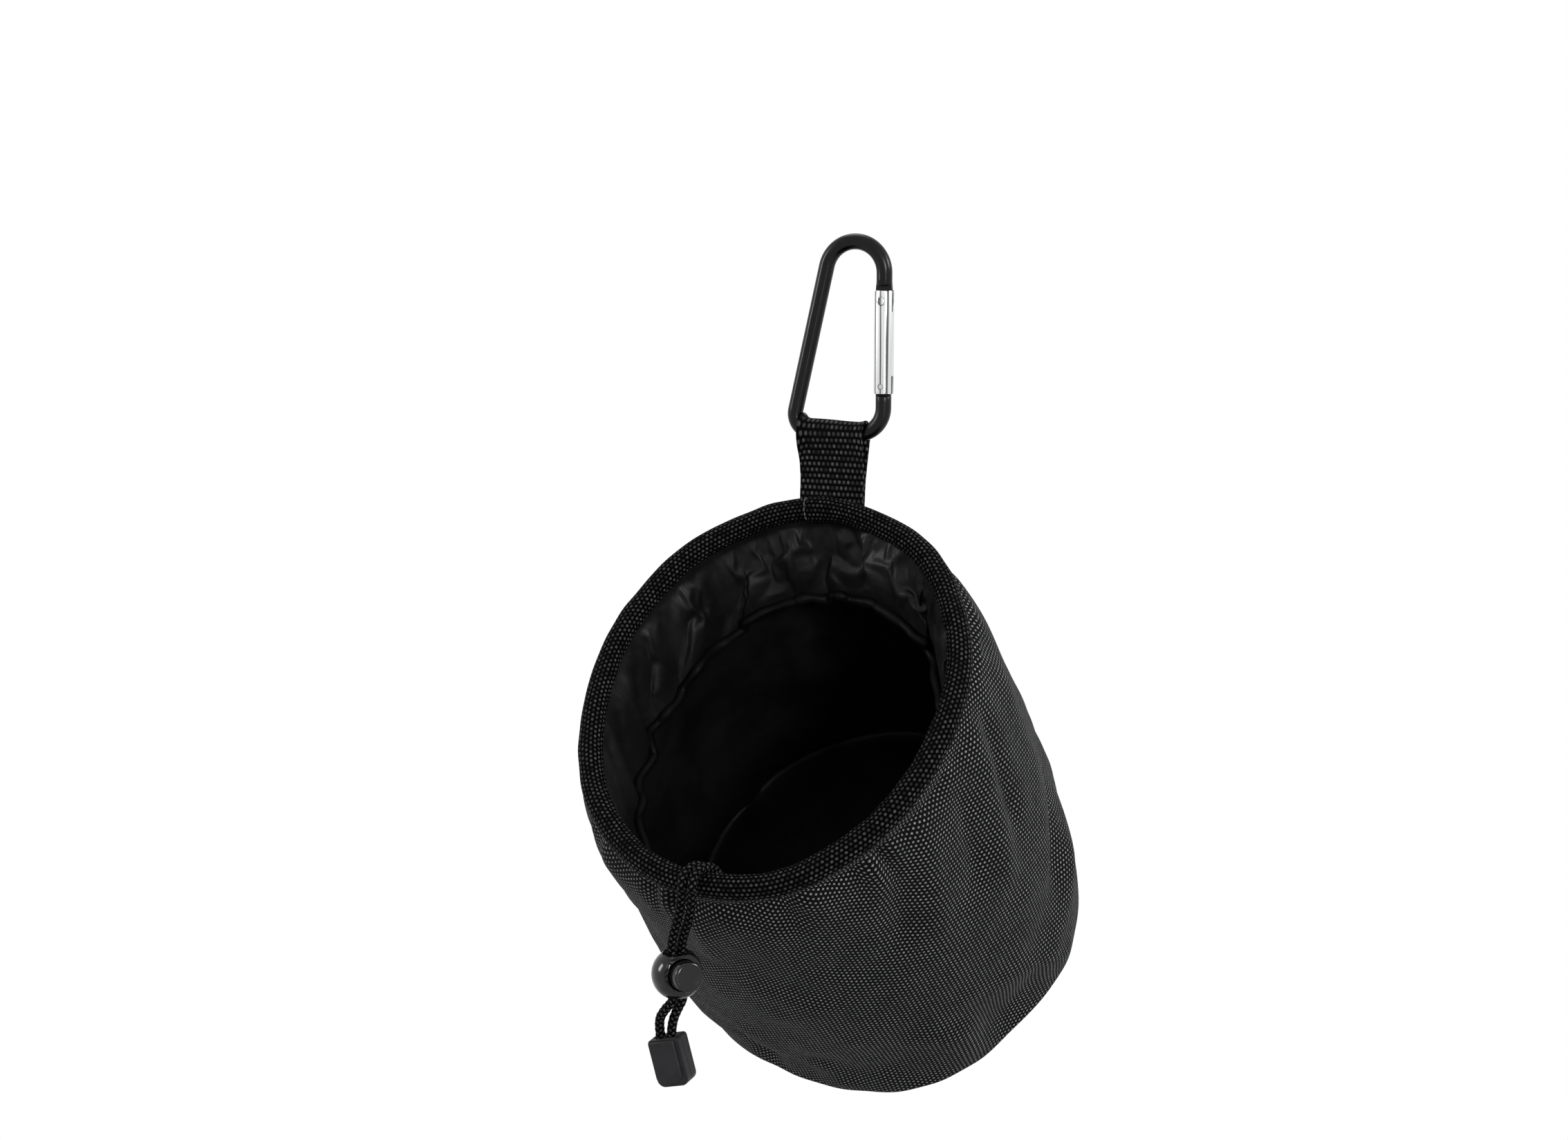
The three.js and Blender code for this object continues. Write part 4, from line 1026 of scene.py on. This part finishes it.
wall_v = np.concatenate((np.linspace(-2.5, -16, 22), np.linspace(-17, BASE_EDGE - DEPTH, 112)))
stand = shell_offset(wall_v)
side, end = shell_ovals(wall_v)
wall = oval(side, end, wall_v[:, None], angle)
wall[..., :2] += unit(np.stack((np.sin(angle) / side, np.cos(angle) / end), -1)) * stand[..., None]
foot = stand[-1]
corner = []
for t in np.radians(np.linspace(-18, -90, 6)):
    keep = BASE_RADIUS - BASE_EDGE + BASE_EDGE * math.cos(t) + foot * (1 + math.sin(t) * 0.6)
    corner.append(oval(keep, keep, -DEPTH + BASE_EDGE + BASE_EDGE * math.sin(t), angle))
rows = np.concatenate((wall, np.array(corner)))
shell = Surface()
shell.grid(world(rows), run_along(rows[:, 40]) * MM + 0.1, shares(TURNS, SHELL_LONG) + 0.1, wrap_j=True)

# The base is a flat cut panel: its weave runs straight across it.
edge_r = BASE_RADIUS - 3.5
panel = [rows[-1]]
for r in [edge_r - k for k in (0, 0.4, 0.8, 1.4, 3, 6, 10, 15)] + [48, 41, 33, 24, 15, 6, 1.5, 0.02]:
    seam = 0.7 * hill(r - edge_r + 0.6, 0.5)
    uneven = 0.5 * ripples(r * np.sin(angle), r * np.cos(angle), 12, 12, 40, 90)
    uneven = uneven * (1 - (r / (edge_r + 1)) ** 4)
    wide = r + foot * 0.35 * (r / edge_r) ** 6
    panel.append(oval(wide, wide, -DEPTH + seam - 1.6 * (1 - (r / edge_r) ** 2) + uneven, angle))
rows = np.array(panel)
flat = np.concatenate((rows[..., :2], rows[:, :1, :2]), 1) * MM + 0.2
shell.grid(world(rows), flat[..., 1], flat[..., 0], wrap_j=True)
shell_obj = shell.done("shell_cloth", SHELL_CLOTH)
thick = shell_obj.modifiers.new("cloth", "SOLIDIFY")
thick.thickness = 0.9 * MM
thick.offset = -1.0
fit(shell_obj, "bag", "shell_cloth", "outer_shell", "base_panel")


# Lining: thin slack cloth inside the shell, held at the rim and at the base.
LINE_TURNS, LINE_ROWS, LINE_BASE, LINE_INSET = 168, 64, 3.8 - DEPTH, 2.6
line_angle = turns(LINE_TURNS)
line_v = np.linspace(-3, LINE_BASE + 0.7, LINE_ROWS)
inset = LINE_INSET + dents(line_v, LINE_TURNS)
side, end = shell_ovals(line_v)
plain = oval(side - inset, end - inset, line_v[:, None], line_angle)
base = [oval(r, r, LINE_BASE, line_angle) for r in (66, 60, 53, 45, 36, 26, 16, 7.0)]
plain = np.concatenate((plain, base))
middle = world((0, 0, LINE_BASE))
lining = Surface()
lining.grid(world(plain), run_along(plain[:, 20]) * MM, shares(LINE_TURNS, LINING_LONG),
            wrap_j=True, flip=True)
last = (len(plain) - 1) * LINE_TURNS
lining.cap(range(last, last + LINE_TURNS), middle)
lining_obj = lining.done("lining_cloth", LINING)
rest = plain.reshape(-1, 3)
inward = np.zeros(len(rest))
row = np.arange(len(rest)) // LINE_TURNS
held = np.nonzero((row < 2) | (row >= LINE_ROWS - 2))[0].tolist() + [len(rest)]
inward, slide = draped(lining_obj, rest, held, (0.055, 0.12, 26), 8.5, 0.35, 5.0)
moved = rest - from_axis(rest) * inward[:, None] + slide
final = np.where((row >= LINE_ROWS)[:, None], rest, moved)
reshaped(lining_obj, np.vstack((world(final), middle[None])))
lining_in = inward.reshape(-1, LINE_TURNS)[:LINE_ROWS]
smoothed(lining_obj)
fit(lining_obj, "bag", "lining_cloth", "lining_wall", "lining_base")


# Collar: a gathered band inside the mouth, its hem rolled round the drawcord.
COLLAR_TURNS, COLLAR_ROWS, COLLAR_TOP = 360, 20, -2.0
collar_angle = turns(COLLAR_TURNS)
collar_v = np.linspace(COLLAR_TOP, -COLLAR_DROP, COLLAR_ROWS)
depth_share = smoothstep(-5, -COLLAR_DROP, collar_v)[:, None]
inset = 1.2 + 1.2 * depth_share
collar_plain = oval(RIM_SIDE - inset, RIM_END - inset, collar_v[:, None], collar_angle)
collar = Surface()
collar.grid(world(collar_plain), (COLLAR_TOP - collar_v) * MM, shares(COLLAR_TURNS, COLLAR_LONG),
            wrap_j=True, flip=True)
collar_obj = collar.done("collar_cloth", LINING)
rest = collar_plain.reshape(-1, 3)
held = np.nonzero(np.arange(len(rest)) // COLLAR_TURNS < 3)[0].tolist()
inward, slide = draped(collar_obj, rest, held, (0.22, 0.02, 30), 12.0, 0.0, 4.0)
# It lies flat where the cord comes up at the front, and clear of the lining behind it.
loose = 1 - hill(apart(np.degrees(collar_angle), 180), 13, 4)[None]
behind = [np.interp(-collar_v, -line_v, lining_in[:, k]) for k in range(LINE_TURNS)]
gap = 0.8 * smoothstep(-4, -12, collar_v)[:, None]
behind = resampled(np.stack(behind, 1), COLLAR_TURNS) + gap + dents(collar_v, COLLAR_TURNS)
inward = np.maximum(inward.reshape(-1, COLLAR_TURNS) * loose, behind)
out = from_axis(rest).reshape(-1, COLLAR_TURNS, 3)
slide = slide.reshape(-1, COLLAR_TURNS, 3) * loose[..., None]
collar_final = collar_plain - out * inward[..., None] + slide
reshaped(collar_obj, world(collar_final))
smoothed(collar_obj)
fit(collar_obj, "bag", "lining_cloth", "drawstring_collar")

HEM_SIDES = 14
hem_path = collar_final[-1] - out[-1] * 1.2
hem_path = (np.roll(hem_path, 1, 0) + hem_path * 2 + np.roll(hem_path, -1, 0)) / 4
pinch = 1.75 + 0.16 * np.sin(29 * collar_angle + 2.5 * np.sin(5 * collar_angle))
pinch = pinch + 0.1 * np.sin(43 * collar_angle)
section = circle(1.0, HEM_SIDES)[None] * pinch[:, None, None]
hem = Surface()
hem.grid(world(swept(hem_path, section, (0, 0, 1), closed=True)), shares(COLLAR_TURNS, COLLAR_LONG),
         shares(HEM_SIDES, HEM_ROUND), wrap_i=True, wrap_j=True)
# Its finish is the lining satin, darkened as painted shade.
hem_obj = hem.done("collar_hem", SHADED_HEM)
smoothed(hem_obj)
fit(hem_obj, "bag", "lining_cloth")


# Drawcord on the bag: both ends rise out of the hem and cross the front of the rim.
def rise(handed):
    hem_end = RIM_END - 4.0
    first = -RIM_END + WRAP
    line = [
        (2.9, -hem_end + 0.1, 2.2 - COLLAR_DROP), (2.1, -hem_end + 0.6, 6.5 - COLLAR_DROP),
        (LEG_HALF, -hem_end + 1.0, 11.5 - COLLAR_DROP),
        (LEG_HALF, (first - hem_end) / 2 + 0.4, -COLLAR_DROP * 0.36),
        (LEG_HALF, first - 0.1, -COLLAR_DROP * 0.12),
    ]
    below = len(line)
    for t in np.radians(np.linspace(0, 180 - TILT, 9)):
        line.append((LEG_HALF, -RIM_END + WRAP * math.cos(t), WRAP * math.sin(t)))
    shift = [CORD_SHIFT * smoothstep(0, 9, k - below + 3) for k in range(len(line))]
    return world([(handed * x + s, u, v) for (x, u, v), s in zip(line, shift)]) / MM


run_surface = Surface()
for handed in (-1, 1):
    braided(run_surface, spline(rise(handed), CORD_STEP)[0])
fit(run_surface.done("drawcord_over_rim", BRAID), "bag", "cord_braid", "collar_drawcord")


# Rim: heavy woven tape rolled over the cloth edges, joined beside the strap.
RIM_TURNS, RIM_SIDES, RIM_AROUND, JOIN_TURN = 560, 40, 62, -7.0
rim_angle = turns(RIM_TURNS)
rim_degrees = np.degrees(rim_angle)
wander = 0.25 * np.sin(5 * rim_angle + 0.7) + 0.2 * np.sin(9 * rim_angle + 2.0)
for at, across, height in ((-38, 34, 1.9), (-12, 14, 0.9), (44, 18, 0.8)):
    wander = wander + height * hill(apart(rim_degrees, at), across)
wave = 0.35 * np.sin(4 * rim_angle + 1.0) + 0.2 * np.sin(13 * rim_angle)
grown = 1 + wander / RIM_AROUND
rim_path = oval(RIM_SIDE * grown, RIM_END * grown, wave, rim_angle)
outward = unit(np.stack((np.sin(rim_angle) / RIM_SIDE, np.cos(rim_angle) / RIM_END, 0 * rim_angle), -1))
spin = turns(RIM_SIDES)
# The tape's end laps over its start, beside a small dip.
join = apart(rim_degrees, JOIN_TURN) * 1.1
lap = 0.55 * smoothstep(-0.4, 0.1, join) * (1 - smoothstep(6.0, 12.0, join)) - 0.35 * hill(join + 0.5, 0.5)
along = rim_angle[:, None] * RIM_AROUND
lump = 0.12 * ripples(along, spin[None] * 4.2 + 0 * along, 21, 12, 7, 18)
radius = (RIM_RADIUS - 0.1 + lap[:, None] + lump) * (1 - 0.10 * hill(spin - 1.5 * np.pi, 0.6))[None]
rim_points = (rim_path[:, None] + outward[:, None] * (np.cos(spin) * radius)[..., None]
              + np.array((0.0, 0.0, 1.0)) * (np.sin(spin) * radius)[..., None])
rim = Surface()
rim.grid(world(rim_points), shares(RIM_TURNS, TAPE_LONG), shares(RIM_SIDES, TAPE_ROUND),
         wrap_i=True, wrap_j=True)
# The rows of the tape run along the rim.
rim.uvs = [uv[:, ::-1] for uv in rim.uvs]
fit(rim.done("rim_tape", BINDING), "bag", "binding_tape", "rim_binding", "rim_hoop")


# Strap: one length of webbing, round the bar and down, both ends sewn to the back of the shell.
def on_shell(v, lift):
    u = shell_radius(SHELL_END, np.array(v)) + CLEAR + lift
    return world((0, float(u), v))[1:] / MM


def bar_top(x):
    """Height of the rod's upper side over the bar's axis, where it bends up past the bar."""
    bend = np.where(x > bar_left, NOSE_CURVE, HEEL)
    past = np.clip(np.maximum(x - ARCH + NOSE_CURVE, bar_left - x), 0, 3.2)
    return bend - np.sqrt((bend - ROD) ** 2 - past ** 2)


loop_radius = ROD + CLEAR + THICK / 2
ply = [(PLY, FLEX_Z + 3.5), (PLY, BAR_Z - 20), (PLY + 0.1, BAR_Z - 15.5), (PLY + 0.75, BAR_Z - 12)]
strap_line = [on_shell(v, THICK * 1.5) for v in np.linspace(-36.5, -17, 9)]
strap_line += [(PLY + 0.25, FLEX_Z + 0.6)] + ply
strap_line += arc(0, BAR_Z, loop_radius, -8, 188, 14)
strap_line += [(-y, z) for y, z in reversed(ply)] + [(-PLY + 0.1, FLEX_Z - 0.2)]
strap_line += [on_shell(v, THICK * 0.5) for v in np.linspace(-16, -36, 9)]
strap_path, _ = spline([(0, y, z) for y, z in strap_line], 0.5)
strap_z = strap_path[:, 2]
strap_run = run_along(strap_path)
strap_normal = np.cross(unit(np.gradient(strap_path, axis=0)), (1.0, 0.0, 0.0))
edge = THICK / 2
side_x = HALF_WIDTH - edge * 0.8
top_side = np.linspace(-side_x, side_x, 27)
rounds = [(side_x + edge * 0.8 * math.cos(t), edge * math.sin(t)) for t in np.radians((50, 0, -50))]
section = [(x, edge) for x in top_side] + rounds
section += [(x, -edge) for x in top_side[::-1]] + [(-x, y) for x, y in reversed(rounds)]
section = np.array(section)
section_x, section_y = section[None, :, 0], section[None, :, 1]
sewn = smoothstep(FLEX_Z + 1.0, FLEX_Z - 4.0, strap_z)[:, None]
back_end, back_side = (float(shell_radius(mouth, np.array(-25.0))) for mouth in (SHELL_END, SHELL_SIDE))
out_back = np.array((0.0, COS, SIN))


def fall(x):
    """How far the round back of the bag falls away beside its middle."""
    return back_end * (1 - np.sqrt(1 - (x / back_side) ** 2))


run = strap_run[:, None]
ripple = 0.18 * np.sin(run / 7.0 + section_x / 5.0) + 0.25 * np.sin(section_x / 6.5 + run / 23.0 + 1.0)
ripple = ripple * (1 - sewn) * smoothstep(BAR_Z - 24, BAR_Z - 6, strap_z)[:, None]
rise_up = bar_top(STRAP_X + STRAP_TOP + section_x * STRAP_SLIM) - ROD
around_bar = smoothstep(BAR_Z - 12, BAR_Z - 2, strap_z)[:, None]
radial = unit(strap_path - np.array((0.0, 0.0, BAR_Z)))
strap_lean = STRAP_TOP + (STRAP_LEAN - STRAP_TOP) * smoothstep(BAR_Z, FLEX_Z, strap_z)[:, None]
strap_points = (strap_path[:, None] + radial[:, None] * (around_bar * rise_up)[..., None]
                + strap_normal[:, None] * (section_y + ripple)[..., None]
                + np.array((1.0, 0, 0)) * (section_x * STRAP_SLIM + STRAP_X + strap_lean)[..., None]
                - out_back * (sewn * fall(section_x))[..., None])
strap = Surface()
strap.tube(strap_points * MM, strap_run * MM, run_along(np.vstack((section, section[:1]))) * MM,
           [strap_points[k].mean(0) * MM for k in (0, -1)], flip=True)
strap_obj = strap.done("hanger_strap", WEBBING, sharp=60)
STRAP_X * MM
STRAP_X * MM
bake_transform(strap_obj)
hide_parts("hanger_webbing", "hanger_sewn_end")


# Stitches: the tape's join, the strap's sewn end and the base seam.
THREAD_SIDES = 7


def stitches(surface, line, normals, length=2.4, gap=0.9, radius=0.26):
    """Row of short thread humps along a line, in millimetres."""
    run = run_along(line)
    at = 0.3
    while at + length < run[-1]:
        s = np.linspace(at, at + length, 9)
        p, n = (np.stack([np.interp(s, run, x[:, k]) for k in range(3)], -1) for x in (line, normals))
        n = unit(n)
        p = p + n * (np.sin(np.linspace(0, np.pi, 9))[:, None] * 0.35 - 0.12)
        size = radius * np.clip(np.sin(np.linspace(0.15, np.pi - 0.15, 9)) * 1.6, 0.3, 1)
        section = circle(1.0, THREAD_SIDES)[None] * size[:, None, None]
        around = shares(THREAD_SIDES, THREAD_ROUND)
        surface.grid(swept(p, section, n[0]) * MM, s * MM, around, wrap_j=True)
        at += length + gap


def back_of_strap(x, v):
    u = float(shell_radius(SHELL_END, np.array(v))) + CLEAR + THICK * 2
    return world((x, u - fall(x), v)) / MM


tape_thread = Surface()
k = int(round((JOIN_TURN - 0.6) % 360 / 360 * RIM_TURNS))
line = world(rim_points[k, :RIM_SIDES // 2 + 5]) / MM
stitches(tape_thread, line, unit(line - world(rim_path[k]) / MM), 1.5, 0.25, 0.2)
fit(tape_thread.done("tape_join_stitches", PALE_THREAD), "bag", "binding_tape")

thread = Surface()
middle, half, low_v, high_v = STRAP_SHIFT + STRAP_LEAN, 9.6, -34.5, -18.0
corners = [(middle + a, b) for a, b in ((-half, low_v), (half, low_v), (half, high_v), (-half, high_v))]
for a, b in ((0, 1), (1, 2), (2, 3), (3, 0), (0, 2), (1, 3)):
    (x0, v0), (x1, v1) = corners[a], corners[b]
    line = np.array([back_of_strap(x0 + (x1 - x0) * t, v0 + (v1 - v0) * t) for t in np.linspace(0, 1, 12)])
    stitches(thread, line, np.repeat(out_back[None], 12, 0))
fit(thread.done("strap_stitches", THREAD), "bag", "webbing")

base_thread = Surface()
ring, seam_r = np.linspace(0, 2 * np.pi, 400), BASE_RADIUS - 2.2
line = world(oval(seam_r, seam_r, -DEPTH + 0.1, ring)) / MM
stitches(base_thread, line, np.repeat(np.array((0.0, SIN, -COS))[None], 400, 0), 2.6, 1.0, 0.22)
fit(base_thread.done("base_stitches", THREAD), "bag", "shell_cloth")


# Hidden hardware keeps its own solids.
for node, finish in (("gate_latch_pin", STEEL), ("gate_plunger", STEEL), ("gate_spring", STEEL),
                     ("cord_lock_spring", STEEL), ("base_stiffener", BOARD), ("cord_end_knot", BRAID)):
    for slot in frame["nodes"][node].material_slots:
        slot.link = "OBJECT"
        slot.material = finish


# Floor, backdrop and light.
FLOOR_Z, FLOOR_RADIUS, AMBIENT = -0.75, 6.0, 0.11


def white_where_seen(tree, output, plain, white, fade=None):
    """White to the camera and in reflections, plain to the light that falls on things."""
    rays = add_node(tree, "LightPath")
    camera_ray, glossy, through = (
        Value(tree, rays.outputs[f"Is {name} Ray"]) for name in ("Camera", "Glossy", "Transmission"))
    seen = camera_ray.math("MAXIMUM", camera_ray.math("MAXIMUM", camera_ray, glossy), through)
    if fade is not None:
        seen = seen * fade
    shaders = [Value(tree, node.outputs[0]) for node in (plain, white)]
    mix = add_node(tree, "MixShader", enumerate((seen, *shaders)))
    add_node(tree, output, ((0, Value(tree, mix.outputs[0])),))


def emptied(owner):
    owner.use_nodes = True
    owner.node_tree.nodes.clear()
    return owner.node_tree


def stage_finish():
    """Pale floor that keeps the shadow near the bag and fades to white away from it."""
    material = bpy.data.materials.new("stage_white")
    tree = emptied(material)
    white = add_node(tree, "Emission", (("Strength", 1.0),))
    pale = add_node(tree, "BsdfDiffuse", (("Color", (0.9, 0.9, 0.9)),))
    place = Value(tree, add_node(tree, "NewGeometry").outputs["Position"])
    away = Value(tree, add_node(tree, "VectorMath", ((0, place),), operation="LENGTH").outputs["Value"])
    white_where_seen(tree, "OutputMaterial", pale, white, away.ramp(0.8, 1.15))
    return material


def floor_form(bm):
    bmesh.ops.create_circle(bm, cap_ends=True, segments=96, radius=FLOOR_RADIUS)


floor = solid("floor", floor_form, stage_finish())
floor.location = (0, 0, FLOOR_Z)

# Lamps: place and size in metres, and watts, all turned to the middle of the bag.
MIDDLE = Vector((0.0, -0.05, -0.15))
for name, place, size, power in (
    ("key", (0.86, -0.95, 0.28), (0.25, 0.25), 5.8),
    ("strip", (0.75, -1.0, -0.05), (0.05, 1.0), 1.4),
    ("right", (1.05, 0.2, 0.4), (0.25, 0.3), 7.2),
    ("top", (-0.35, 0.45, 1.0), (0.6, 0.6), 3.0),
    ("left", (-1.0, -0.55, 0.2), (0.2, 0.45), 5.0),
):
    light = bpy.data.lights.new(name, "AREA")
    light.shape = "RECTANGLE"
    light.size, light.size_y = size
    light.energy = power
    lamp = linked(name, light)
    lamp.location = place
    lamp.rotation_euler = (MIDDLE - Vector(place)).to_track_quat("-Z", "Y").to_euler()

scene.view_settings.view_transform = "Standard"
sky = bpy.data.worlds.new("studio")
scene.world = sky
tree = emptied(sky)
ambient, white = (add_node(tree, "Background", (("Color", (1, 1, 1)), ("Strength", strength)))
                  for strength in (AMBIENT, 1.0))
white_where_seen(tree, "OutputWorld", ambient, white)
